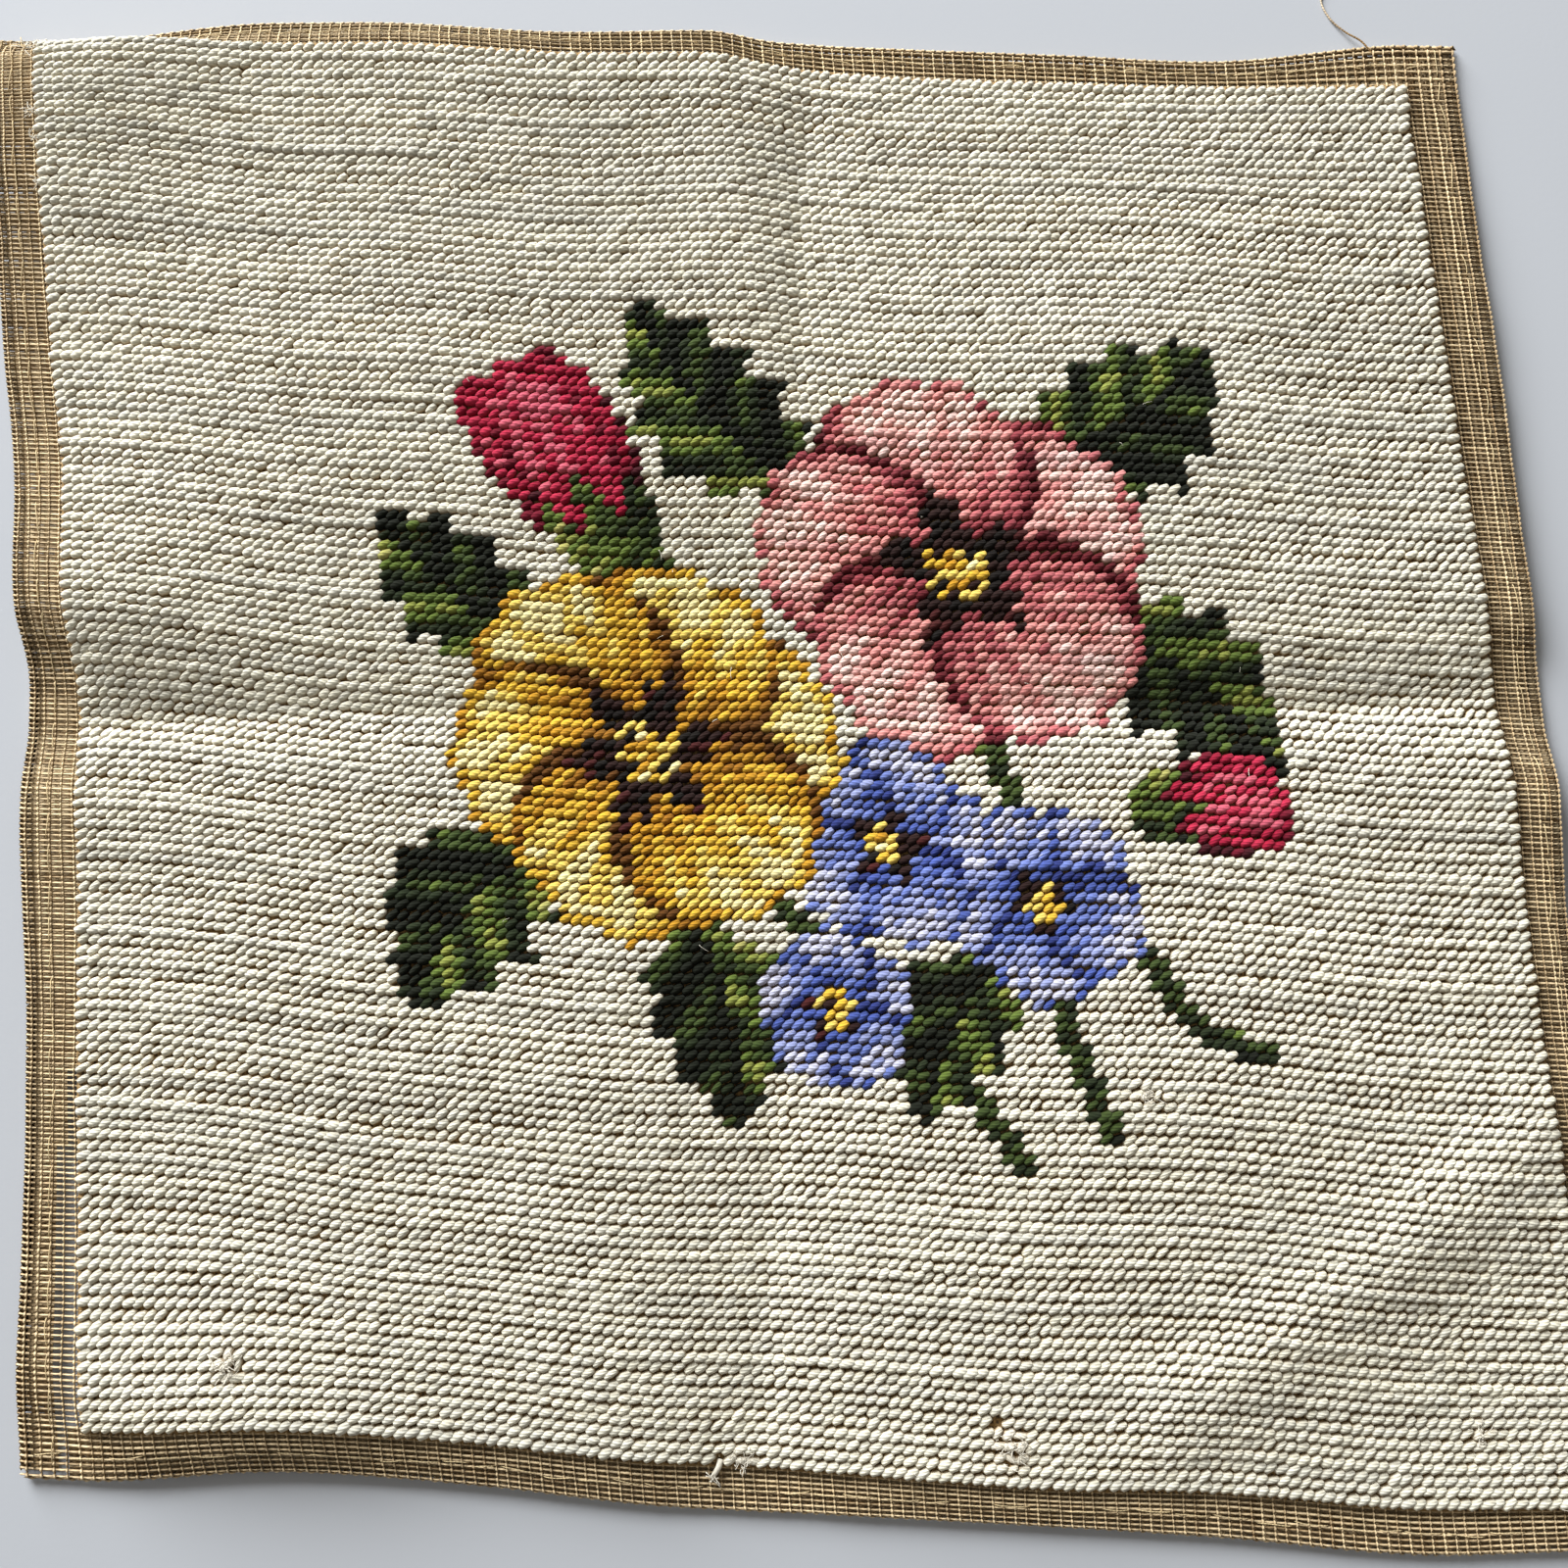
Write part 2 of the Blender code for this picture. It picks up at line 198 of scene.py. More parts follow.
@dataclass(frozen=True)
class PanelShape:
    """The cloth as it lies: the solids' shape, with finer folds and puckers.

    Sides are given in the order left, right, bottom, top, and what changes along a side
    at nine even stations, from the left or the bottom.
    """

    field: tuple = (355.6, 351.12)  # the worked field's width and height
    stitches_across: int = 135
    stitches_up: int = 136
    gap: float = 0.35
    canvas_thick: float = 1.0
    margins: tuple = (13.5, 12.5, 10.5, 8.5)
    hem_share: float = 2 / 3  # how much of each margin the hem lies under
    corners: tuple = ((-194.0, 194.0), (165.0, 184.5), (189.5, -169.5), (-162.0, -152.0))
    middle: tuple = (-2.1588, 11.7485)  # where the frame's origin lies among the corners
    bows: tuple = (  # how far each side of the field bows outwards
        (0, -0.5, -1.5, -2.9, -3.2, -2.7, 0.2, 0.9, 0),
        (0, 0, -0.5, -1, -0.5, -1, -2, -2.5, -2.6),
        (0, -3.5, -2.5, 0, 0.5, 1.5, 0.5, 2, 0),
        (0, 1, 2.5, 1, 2, -1.5, -2.5, -2.5, 0),
    )
    widths: tuple = (  # how much canvas shows beyond each side
        (16.5, 14.5, 13.5, 15.2, 13.2, 13.2, 13.3, 13.1, 13.5),
        (11.5, 11, 10.5, 10.5, 12.5, 13, 14.5, 14.5, 15.1),
        (11.8, 10.8, 10.5, 10.5, 10, 9, 10.5, 10.5, 9.5),
        (9, 9, 8.5, 7.5, 7.5, 9, 8.8, 8.2, 12.5),
    )
    hem_slip: tuple = (1.1, 0.62)  # how far the hem's threads lie beside the canvas's own
    fold_out: float = 0.3  # the fold's threads bulge this far past the plain canvas
    tucked: tuple = (0.02, 0.17, 0.6, 0.7)  # top margin: full to, gone by, drawn in, dropped
    puckers: tuple = (0.13, 0.16)  # height of the narrow and of the broad ones
    lowest_swell: float = 1.5  # height of the cloth where no swell or valley reaches
    swells: tuple = (  # across, up, reach across, reach up, height
        (0.22, 0.74, 0.19, 0.17, 4.6),
        (-0.02, 0.575, 0.15, 0.075, 6.4),
        (0.02, 0.95, 0.13, 0.10, 5.2),
        (0.34, 1.00, 0.17, 0.09, 3.0),
        (0.505, 0.88, 0.055, 0.16, 2.2),
        (0.79, 0.74, 0.18, 0.17, 4.5),
        (0.20, 0.27, 0.18, 0.16, 4.5),
        (0.05, 0.43, 0.14, 0.05, 1.8),
        (0.11, 0.00, 0.11, 0.10, 4.5),
        (0.74, 0.27, 0.17, 0.17, 5.5),
        (0.98, 0.60, 0.20, 0.06, 1.8),
        (0.98, 0.48, 0.18, 0.05, 2.4),
        (1.02, 0.40, 0.12, 0.10, 1.0),
        (0.345, 0.10, 0.085, 0.15, 2.8),
        (0.075, 1.00, 0.065, 0.05, 2.6),
    )
    valleys: tuple = (  # start, end, strengths, reaches to the left, reaches to the right
        ((-0.05, 0.479), (1.05, 0.541), (1.0, 0.95, 1.0), (8.5, 8.5), (6.5, 6.5)),
        ((0.438, -0.05), (0.570, 1.05), (1.0, 0.5, 0.95), (18, 6), (9, 30)),
    )
    crease: float = 1.8  # how round the bottom of a valley is
    ridges: tuple = (  # start, end, height, reach
        ((0.669, 0.007), (1.029, 0.272), 1.7, 10),
    )
    row_run: float = 1.2  # how far the rows dip and rise between the sides
    side_runs: tuple = ((5.5, 0.22), (2.4, 0.18))  # up at the left, down at the right, over a share
    rests: tuple = (  # across, up, flat within, free past
        (0.495, 0.515, 24, 62),
        (-0.03, 0.496, 3, 24),
        (1.03, 0.537, 3, 24),
        (0.556, 1.02, 3, 24),
        (0.44, -0.03, 3, 26),
        (1.03, 1.02, 6, 55),
        (1.02, -0.02, 25, 75),
        (-0.03, -0.03, 3, 26),
    )
    drops: tuple = (  # start, end, share, run
        ((0.645, -0.01), (1.025, 0.24), 0.8, 44),
        ((0.17, 1.0), (-0.06, 0.985), 0.75, 9),
        ((0.55, 0.0), (1.05, 0.0), 0.9, 13),
    )

    @property
    def flat_size(self) -> tuple[float, float]:
        """The canvas's width and height with its hems opened out, in metres."""
        left, right, bottom, top = (margin * (1 + self.hem_share) for margin in self.margins)
        wide, high = self.field
        return round((wide + left + right) * MM, 4), round((high + bottom + top) * MM, 4)

    @property
    def stitch_width(self) -> float:
        """From one stitch to the next in a row."""
        return self.field[0] / self.stitches_across

    @property
    def stitch_height(self) -> float:
        """From one row of stitches to the next."""
        return self.field[1] / self.stitches_up

    @property
    def fold_radius(self) -> float:
        """The radius of the turned edge, along the middle of the canvas."""
        return (self.canvas_thick + self.gap) / 2

    @property
    def fold_reach(self) -> float:
        """How far the turned edge stands out past where it starts to bend."""
        return self.fold_radius + self.canvas_thick / 2

    @property
    def hem_level(self) -> float:
        """Height of the middle of the turned-under layer, laid flat."""
        return self.canvas_thick / 2

    @property
    def canvas_level(self) -> float:
        """Height of the middle of the canvas, laid flat."""
        return self.hem_level + 2 * self.fold_radius

    def from_line(self, start: tuple, end: tuple, across: Array, up: Array) -> tuple[Array, Array]:
        """Measures places against a line on the cloth.

        Args:
            start: The line's first end, as shares of the field.
            end: Its other end.
            across: The places' shares from left to right.
            up: The places' shares from bottom to top.

        Returns:
            The share of the way along, and millimetres to the line's right.
        """
        wide, high = self.field
        run = (end[0] - start[0]) * wide, (end[1] - start[1]) * high
        here = (across - start[0]) * wide, (up - start[1]) * high
        length = math.hypot(*run)
        share = (here[0] * run[0] + here[1] * run[1]) / length**2
        return share, (here[0] * run[1] - here[1] * run[0]) / length

    def lift(self, across: Array, up: Array) -> Array:
        """Height of the cloth's lowest layer over the surface.

        Args:
            across: Shares of the field from left to right.
            up: Shares of the field from bottom to top.

        Returns:
            Heights in millimetres.
        """
        height = np.full(np.shape(across), self.lowest_swell)
        for place_across, place_up, reach_across, reach_up, tall in self.swells:
            height += tall * np.exp(
                -(((across - place_across) / reach_across) ** 2)
                - ((up - place_up) / reach_up) ** 2
            )
        for start, end, strengths, before, after in self.valleys:
            share, aside = self.from_line(start, end, across, up)
            reach = np.where(
                aside < 0, along(np.array(before, float), share), along(np.array(after, float), share)
            )
            away = np.hypot(aside, self.crease) - self.crease
            height *= 1 - along(np.array(strengths), share) * np.exp(-away / reach)
        for start, end, tall, reach in self.ridges:
            share, aside = self.from_line(start, end, across, up)
            ends = eased(share / 0.2) * eased((1 - share) / 0.15)
            height += tall * ends * np.exp(-((aside / reach) ** 2))
        for place_across, place_up, flat, free in self.rests:
            away = np.hypot(
                (across - place_across) * self.field[0], (up - place_up) * self.field[1]
            )
            height *= eased((away - flat) / (free - flat))
        for start, end, share, run in self.drops:
            height *= 1 - share * eased(self.from_line(start, end, across, up)[1] / run)
        return height

    def seen_from_above(self, across: Array, up: Array) -> tuple[Array, Array]:
        """Where places on the cloth lie in plan.

        Args:
            across: Shares of the field from left to right.
            up: Shares of the field from bottom to top.

        Returns:
            The places' x and y in millimetres.
        """
        top_left, top_right, bottom_right, bottom_left = self.corners
        plan = [
            (1 - across) * ((1 - up) * bottom_left[axis] + up * top_left[axis])
            + across * ((1 - up) * bottom_right[axis] + up * top_right[axis])
            for axis in (0, 1)
        ]
        inner = np.clip(across, 0, 1), np.clip(up, 0, 1)
        shares = across, up
        for side, axis in enumerate((0, 0, 1, 1)):
            other = shares[1 - axis]
            outwards = 1 if side % 2 else -1
            reach = inner[axis] if side % 2 else 1 - inner[axis]
            beyond = (shares[axis] - 1 if side % 2 else -shares[axis]) * self.field[axis]
            wider = along(np.array(self.widths[side], float), other) / self.margins[side] - 1
            plan[axis] = plan[axis] + outwards * (
                reach * along(np.array(self.bows[side], float), other)
                + np.maximum(beyond, 0) * wider
            )
        plan[1] = plan[1] - self.row_run * self.free(up) * np.sin(2 * math.pi * inner[0])
        return plan[0], plan[1] + self.slide(across, up)

    def free(self, up: Array) -> Array:
        """How free the rows are to run slantwise: not at all at the top and the bottom."""
        return eased(up / 0.16) * eased((1 - up) / 0.12)

    def slide(self, across: Array, up: Array) -> Array:
        """How far the pull of the stitches carries the rows' ends along the sides.

        Args:
            across: Shares of the field from left to right.
            up: Shares of the field from bottom to top.

        Returns:
            Millimetres upwards.
        """
        (left, left_run), (right, right_run) = self.side_runs
        at_left = left * (1 - eased(across / left_run))
        at_right = right * (1 - eased((1 - across) / right_run))
        return self.free(up) * (at_left - at_right)

    def pucker(self, across: Array, up: Array) -> Array:
        """The slight unevenness that pulled yarn gives the worked field, in millimetres."""
        x, y = across * self.field[0], up * self.field[1]
        rows = np.sin(y / 5.3 + 1.7 * np.sin(x / 61)) * np.sin(x / 37 + 2.1 * np.sin(y / 43))
        broad = np.sin(x / 17 + y / 29 + 1.3) * np.sin(y / 13 - x / 47)
        return self.puckers[0] * rows + self.puckers[1] * broad

    def lay(self, flat: Array) -> Array:
        """Lays flat places out as the panel lies.

        Args:
            flat: Places on the flat cloth, a row each, in millimetres.

        Returns:
            The same places in the frame, in metres.
        """
        across, up = flat[..., 0] / self.field[0], flat[..., 1] / self.field[1]
        x, y = self.seen_from_above(across, up)
        lift = self.lift(across, up + self.slide(across, up) / self.field[1])
        full, gone, drawn, dropped = self.tucked
        tuck = 1 - eased((across - full) / (gone - full))
        beyond = np.clip((up - 1) * self.field[1], 0, 12)
        y = y - drawn * tuck * beyond
        lift = lift * (1 - dropped * tuck * eased(beyond / 7))
        height = flat[..., 2] + lift + self.pucker(across, up) * np.minimum(lift / 2, 1)
        return MM * np.stack(
            (x - self.middle[0], y - self.middle[1], np.maximum(height, 0.02)), axis=-1
        )

    def facing(self, flat: Array) -> Array:
        """Finds which way the laid cloth's upper side faces.

        Args:
            flat: Places on the flat cloth, a row each, in millimetres.

        Returns:
            A unit direction for each place.
        """
        slopes = []
        for axis in (0, 1):
            step = np.zeros(3)
            step[axis] = 0.6
            slopes.append(self.lay(flat + step) - self.lay(flat - step))
        out = np.cross(*slopes)
        return out / np.linalg.norm(out, axis=-1, keepdims=True)

    def roll(self, place: Array, axis: int) -> tuple[Array, Array, Array, Array]:
        """Turns the canvas's edge under along one axis.

        Args:
            place: Places along the axis on the unturned canvas.
            axis: 0 for across, 1 for up.

        Returns:
            The turned places along the axis, their height, and the outer face's
            direction along the axis and upwards.
        """
        size, bend = self.field[axis], self.fold_radius
        low, high = self.margins[2 * axis], self.margins[2 * axis + 1]
        side = np.where(place < size / 2, -1.0, 1.0)
        reach = self.fold_reach - self.fold_out
        start = np.where(side < 0, reach - low, size + high - reach)
        past = (place - start) * side
        turn = np.clip(past / bend, 0, math.pi)
        inwards = np.maximum(past - math.pi * bend, 0)
        rolled = np.where(past > 0, start + side * (bend * np.sin(turn) - inwards), place)
        level = self.hem_level + bend + bend * np.cos(turn)
        return rolled, level, side * np.sin(turn), np.cos(turn)

    def hemmed(self, flat: Array) -> Array:
        """Carries places on the unturned canvas round its folds.

        Args:
            flat: Across, up, and height over the middle of the canvas.

        Returns:
            Places on the flat cloth with its hem turned under.
        """
        x, x_level, x_out, x_up = self.roll(flat[..., 0], 0)
        y, y_level, y_out, y_up = self.roll(flat[..., 1], 1)
        proud = flat[..., 2]
        first = x_level <= y_level
        slip = 1 - (np.where(first, x_level, y_level) - self.hem_level) / (2 * self.fold_radius)
        return np.stack(
            (
                x + proud * np.where(first, x_out, 0) + np.where(first, 0, slip * self.hem_slip[0]),
                y + proud * np.where(first, 0, y_out) + np.where(first, slip * self.hem_slip[1], 0),
                np.where(first, x_level + proud * x_up, y_level + proud * y_up),
            ),
            axis=-1,
        )


SHAPE = PanelShape()
NO_LIE = np.zeros(3)


def deselect() -> None:
    """Leaves nothing selected, the CAD nodes included."""
    for item in bpy.context.selected_objects:
        item.select_set(False)


def pick(item: bpy.types.Object, chosen) -> None:
    """Selects the vertices of a mesh in edit mode by their place.

    Args:
        item: The object being edited.
        chosen: Tells for a vertex's place whether it is selected.
    """
    bpy.ops.mesh.select_all(action="DESELECT")
    mesh = bmesh.from_edit_mesh(item.data)
    for vertex in mesh.verts:
        vertex.select = bool(chosen(vertex.co))
    mesh.select_flush_mode()
    bmesh.update_edit_mesh(item.data)


@dataclass
class UnitMesh:
    """A small shape that is modelled once and laid many times."""

    verts: Array
    loops: Array
    sizes: Array
    uvs: Array

    @classmethod
    def taken_from(cls, item: bpy.types.Object) -> "UnitMesh":
        """Reads a modelled object and removes it.

        Args:
            item: The object, its mesh in millimetres.

        Returns:
            Its places, faces and UV map as arrays.
        """
        mesh = item.data
        verts = np.empty(len(mesh.vertices) * 3)
        mesh.vertices.foreach_get("co", verts)
        loops = np.empty(len(mesh.loops), int)
        mesh.loops.foreach_get("vertex_index", loops)
        sizes = np.empty(len(mesh.polygons), int)
        mesh.polygons.foreach_get("loop_total", sizes)
        uvs = np.zeros(len(mesh.loops) * 2)
        mesh.uv_layers.active.data.foreach_get("uv", uvs)
        bpy.data.objects.remove(item)
        bpy.data.meshes.remove(mesh)
        return cls(verts.reshape(-1, 3), loops, sizes, uvs.reshape(-1, 2)).sorted()

    def sorted(self) -> "UnitMesh":
        """Puts its vertices and faces in order of place, since a cut leaves them in any order."""
        starts = np.cumsum(self.sizes) - self.sizes
        middles = np.add.reduceat(self.verts[self.loops], starts) / self.sizes[:, None]
        order = np.lexsort(middles.round(5).T)
        corners = np.concatenate([starts[i] + np.arange(self.sizes[i]) for i in order])
        place = np.lexsort(self.verts.round(5).T)
        loops = np.argsort(place)[self.loops[corners]]
        return UnitMesh(self.verts[place], loops, self.sizes[order], self.uvs[corners])


class JoinedMesh:
    """Gathers many small shapes into one piece."""

    def __init__(self) -> None:
        """Starts with nothing in it."""
        self.verts: list[Array] = []
        self.loops: list[Array] = []
        self.sizes: list[Array] = []
        self.uvs: list[Array] = []
        self.colours: list[Array] = []
        self.lies: list[Array] = []
        self.count = 0

    def add(
        self, verts: Array, loops: Array, sizes: Array, uvs: Array, colours: Array, lies: Array = NO_LIE
    ) -> None:
        """Adds a shape.

        Args:
            verts: Its places in metres.
            loops: The vertices round each face, face after face.
            sizes: How many vertices each face has.
            uvs: A UV place for each of the loops.
            colours: A linear colour for each vertex, or one for all of them.
            lies: Which way the cloth under each vertex faces, or one for all of them.
        """
        self.verts.append(verts.reshape(-1, 3))
        self.loops.append(loops.reshape(-1) + self.count)
        self.sizes.append(sizes.reshape(-1))
        self.uvs.append(uvs.reshape(-1, 2))
        total = len(self.verts[-1])
        self.colours.append(np.broadcast_to(colours, (total, 4)))
        self.lies.append(np.broadcast_to(lies, (total, 3)))
        self.count += total

    def add_many(self, unit: UnitMesh, verts: Array, colours: Array, lies: Array | None = None) -> None:
        """Adds copies of a unit.

        Args:
            unit: The shape that is copied.
            verts: Each copy's own places in metres.
            colours: A linear colour for each copy's vertices.
            lies: Which way the cloth under each copy faces.
        """
        copies, size = verts.shape[0], verts.shape[1]
        steps = (np.arange(copies) * size)[:, None]
        self.add(
            verts,
            unit.loops[None, :] + steps,
            np.tile(unit.sizes, copies),
            np.tile(unit.uvs, (copies, 1)),
            colours.reshape(-1, 4),
            NO_LIE if lies is None else np.repeat(lies, size, axis=0),
        )

    def build(self, name: str, finish: bpy.types.Material, weld: bool = False) -> bpy.types.Object:
        """Makes the piece, smooth, with its colours and the cloth's lie as attributes.

        Args:
            name: The piece's name.
            finish: Its material.
            weld: Joins vertices that meet.

        Returns:
            The new object, at the origin.
        """
        verts, loops = np.concatenate(self.verts), np.concatenate(self.loops)
        sizes, colours = np.concatenate(self.sizes), np.concatenate(self.colours)
        lies = np.concatenate(self.lies)
        if weld:
            _, kept, place = np.unique(
                np.round(verts * WELD_STEPS).astype(np.int64),
                axis=0,
                return_index=True,
                return_inverse=True,
            )
            verts, colours, lies = verts[kept], colours[kept], lies[kept]
            loops = place.reshape(-1)[loops]
        mesh = bpy.data.meshes.new(name)
        mesh.vertices.add(len(verts))
        mesh.vertices.foreach_set("co", verts.reshape(-1))
        mesh.loops.add(len(loops))
        mesh.loops.foreach_set("vertex_index", loops)
        mesh.polygons.add(len(sizes))
        mesh.polygons.foreach_set("loop_start", np.cumsum(sizes) - sizes)
        mesh.update(calc_edges=True)
        layer = mesh.uv_layers.new(name="yarn_map")
        layer.data.foreach_set("uv", np.concatenate(self.uvs).reshape(-1))
        paint = mesh.color_attributes.new("yarn", "FLOAT_COLOR", "POINT")
        paint.data.foreach_set("color", colours.reshape(-1))
        lie = mesh.attributes.new("lie", "FLOAT_VECTOR", "POINT")
        lie.data.foreach_set("vector", lies.reshape(-1))
        mesh.polygons.foreach_set("use_smooth", np.ones(len(sizes), bool))
        mesh.materials.append(finish)
        mesh.update()
        piece = bpy.data.objects.new(name, mesh)
        bpy.context.scene.collection.objects.link(piece)
        return piece


def tube(path: Array, radii: Array, sides: int, flat: float = 1.0) -> tuple[Array, Array, Array, Array]:
    """A closed tube along a path.

    Args:
        path: The points it follows, in metres.
        radii: Its radius at each point.
        sides: How many faces go round it.
        flat: Height as a share of width.

    Returns:
        Its places, loops, face sizes and UVs.
    """
    count = len(path)
    heading = np.gradient(path, axis=0)
    heading /= np.linalg.norm(heading, axis=1)[:, None] + 1e-12
    aside = np.cross(heading, (0.0, 0.0, 1.0))
    steep = np.linalg.norm(aside, axis=1) < 1e-3
    aside[steep] = (1.0, 0.0, 0.0)
    aside /= np.linalg.norm(aside, axis=1)[:, None]
    over = np.cross(aside, heading)
    turn = np.arange(sides) * 2 * math.pi / sides
    ring = (
        np.cos(turn)[None, :, None] * aside[:, None, :]
        + flat * np.sin(turn)[None, :, None] * over[:, None, :]
    )
    verts = path[:, None, :] + ring * np.reshape(radii, (count, -1, 1))
    step, side = np.meshgrid(np.arange(count - 1), np.arange(sides), indexing="ij")
    after = (side + 1) % sides
    quads = np.stack(
        (
            step * sides + side,
            step * sides + after,
            (step + 1) * sides + after,
            (step + 1) * sides + side,
        ),
        axis=-1,
    ).reshape(-1, 4)
    length = np.concatenate(([0], np.cumsum(np.linalg.norm(np.diff(path, axis=0), axis=1))))
    u = np.stack((side, side + 1, side + 1, side), axis=-1).reshape(-1) / sides
    v = length[np.stack((step, step, step + 1, step + 1), axis=-1)].reshape(-1) / MM
    caps = np.concatenate((np.arange(sides)[::-1], (count - 1) * sides + np.arange(sides)))
    loops = np.concatenate((quads.reshape(-1), caps))
    sizes = np.concatenate((np.full(len(quads), 4), (sides, sides)))
    uvs = np.concatenate((np.stack((u, v), axis=-1), np.zeros((2 * sides, 2))))
    return verts.reshape(-1, 3), loops, sizes, uvs


class Dye(Enum):
    """The yarns' colours, each family from dark to light."""

    CREAM = ("#D6CDB0", "#E3E3D6", "#EDE9D8")
    PINK = ("#5E1A24", "#92404A", "#BE6B71", "#D8908F", "#E9B2AF", "#F4D3CF")
    CRIMSON = ("#3E0A18", "#6E0F28", "#9C1638", "#B92B4C", "#CF6076")
    YELLOW = ("#5E3A10", "#96661A", "#C08F26", "#DDB43C", "#EBD069", "#F6EBAE")
    BLUE = ("#2A3778", "#4558A4", "#6779BE", "#919DD1", "#BFC4E0")
    GREEN = ("#10160C", "#202B17", "#3A4B23", "#5B7031", "#879247", "#AFAF68")
    HEART = ("#0F0A09", "#24100F", "#431617")

    @classmethod
    def all_codes(cls) -> list[str]:
        """Every colour, family after family."""
        return [code for family in cls for code in family.value]

    @property
    def first(self) -> int:
        """The number of this family's darkest colour in all_codes."""
        before = 0
        for family in Dye:
            if family is self:
                return before
            before += len(family.value)
        return before


@dataclass
class Chart:
    """The stitch chart: a colour number for each stitch, worked out by formulas."""

    across: int = SHAPE.stitches_across
    up: int = SHAPE.stitches_up
    shift: tuple = (-3, 3)  # how far right and up the spray stands from where it is drawn
    codes: Array = field(init=False)

    def __post_init__(self) -> None:
        """Starts with plain cream all over."""
        self.codes = np.full((self.up, self.across), Dye.CREAM.first + 1)
        row, column = np.mgrid[0 : self.up, 0 : self.across] + 0.5
        self.row, self.column = row - self.shift[1], column - self.shift[0]
        self.grain = np.random.default_rng(SEED).random((self.up, self.across)) - 0.5

    def paint(self, where: Array, dye: Dye, light: Array) -> None:
        """Works some stitches in one family of yarns.

        Args:
            where: Which stitches.
            dye: The family.
            light: How light each stitch is, from 0 to 1.
        """
        shades = len(dye.value)
        shade = np.clip((light * shades).astype(int), 0, shades - 1)
        self.codes = np.where(where, dye.first + shade, self.codes)


@dataclass(frozen=True)
class Bloom:
    """An open flower: a ring of round petals, each laid over the last."""

    column: float
    row: float
    radius: float
    dye: Dye
    petals: int = 5
    turn: float = 0.3
    heart: float = 0.33

    def paint(self, chart: Chart) -> None:
        """Draws the flower on the chart."""
        x, y = chart.column - self.column, chart.row - self.row
        for petal in range(self.petals):
            angle = self.turn + petal * 2 * math.pi / self.petals
            out = (x * math.cos(angle) + y * math.sin(angle)) / self.radius
            aside = (y * math.cos(angle) - x * math.sin(angle)) / self.radius
            wide = 0.56 if self.petals > 4 else 0.66
            ruffle = 1 + 0.05 * np.sin(aside * 19 + petal)
            reach = np.hypot((out - 0.5) / (0.5 * ruffle), aside / wide)
            inside = reach < 1
            streak = 0.12 * np.cos(aside / (0.25 + 0.75 * np.clip(out, 0, 1)) * 21 + petal)
            light = 0.1 + 0.95 * np.clip(out, 0, 1) ** 0.9
            light = light + streak - 0.3 * np.clip(aside / wide, 0, 1) ** 2
            light = light - 0.55 * eased((reach - 0.8) / 0.2) + 0.16 * chart.grain
            chart.paint(inside, self.dye, light)
        away = np.hypot(x, y) / self.radius
        around = np.arctan2(y, x) - self.turn
        jag = 1 + 0.32 * np.cos(around * self.petals) + 0.16 * np.cos(around * self.petals * 4)
        chart.paint(away < self.heart * jag, Dye.HEART, 0.2 + away + 0.5 * chart.grain)
        ring = np.abs(away - self.heart * 0.5) < 0.6 / self.radius
        chart.paint(ring & (chart.grain < 0.22), Dye.YELLOW, 0.75 + 0.4 * chart.grain)
        chart.paint(away < self.heart * 0.3, Dye.YELLOW, 0.65 + 0.6 * chart.grain)


@dataclass(frozen=True)
class Leaf:
    """A saw-edged leaf with a midrib and side veins."""

    base: tuple[float, float]
    tip: tuple[float, float]
    width: float
    bend: float = 0.0

    def paint(self, chart: Chart) -> None:
        """Draws the leaf on the chart."""
        run = self.tip[0] - self.base[0], self.tip[1] - self.base[1]
        length = math.hypot(*run)
        x, y = chart.column - self.base[0], chart.row - self.base[1]
        share = (x * run[0] + y * run[1]) / length**2
        aside = (y * run[0] - x * run[1]) / length
        aside = aside - self.bend * np.sin(np.clip(share, 0, 1) * math.pi)
        body = np.clip(np.sin(np.clip(share, 0, 1) ** 0.8 * math.pi), 0, 1) ** 0.8
        teeth = 0.86 + 0.14 * np.cos(share * length * 2 * math.pi / 4.5)
        edge = self.width * body * teeth
        inside = (np.abs(aside) < edge) & (share > 0) & (share < 1)
        fall = np.abs(aside) / (edge + 0.01)
        vein = np.cos((share * length - 0.9 * np.abs(aside)) * 2 * math.pi / 6.5)
        light = 0.36 + 0.26 * vein * (0.4 + fall) + 0.14 * np.sign(aside)
        light = light - 0.25 * eased((fall - 0.75) / 0.25) + 0.18 * chart.grain
        light = np.where(np.abs(aside) < 0.55, 0.06, light)
        chart.paint(inside, Dye.GREEN, light)


@dataclass(frozen=True)
class Stem:
    """A curved stalk, light along one side."""

    points: tuple[tuple[float, float], ...]
    width: float = 1.1

    def paint(self, chart: Chart) -> None:
        """Draws the stalk on the chart."""
        share = np.linspace(0, 1, 90)
        path = [along(np.array([p[axis] for p in self.points], float), share) for axis in (0, 1)]
        away = np.full(chart.codes.shape, 99.0)
        lit = np.zeros(chart.codes.shape)
        for x, y in zip(*path):
            here = np.hypot(chart.column - x, chart.row - y)
            lit = np.where(here < away, chart.row - y - 0.4 * (chart.column - x), lit)
            away = np.minimum(away, here)
        chart.paint(away < self.width, Dye.GREEN, 0.36 + 0.22 * lit + 0.2 * chart.grain)


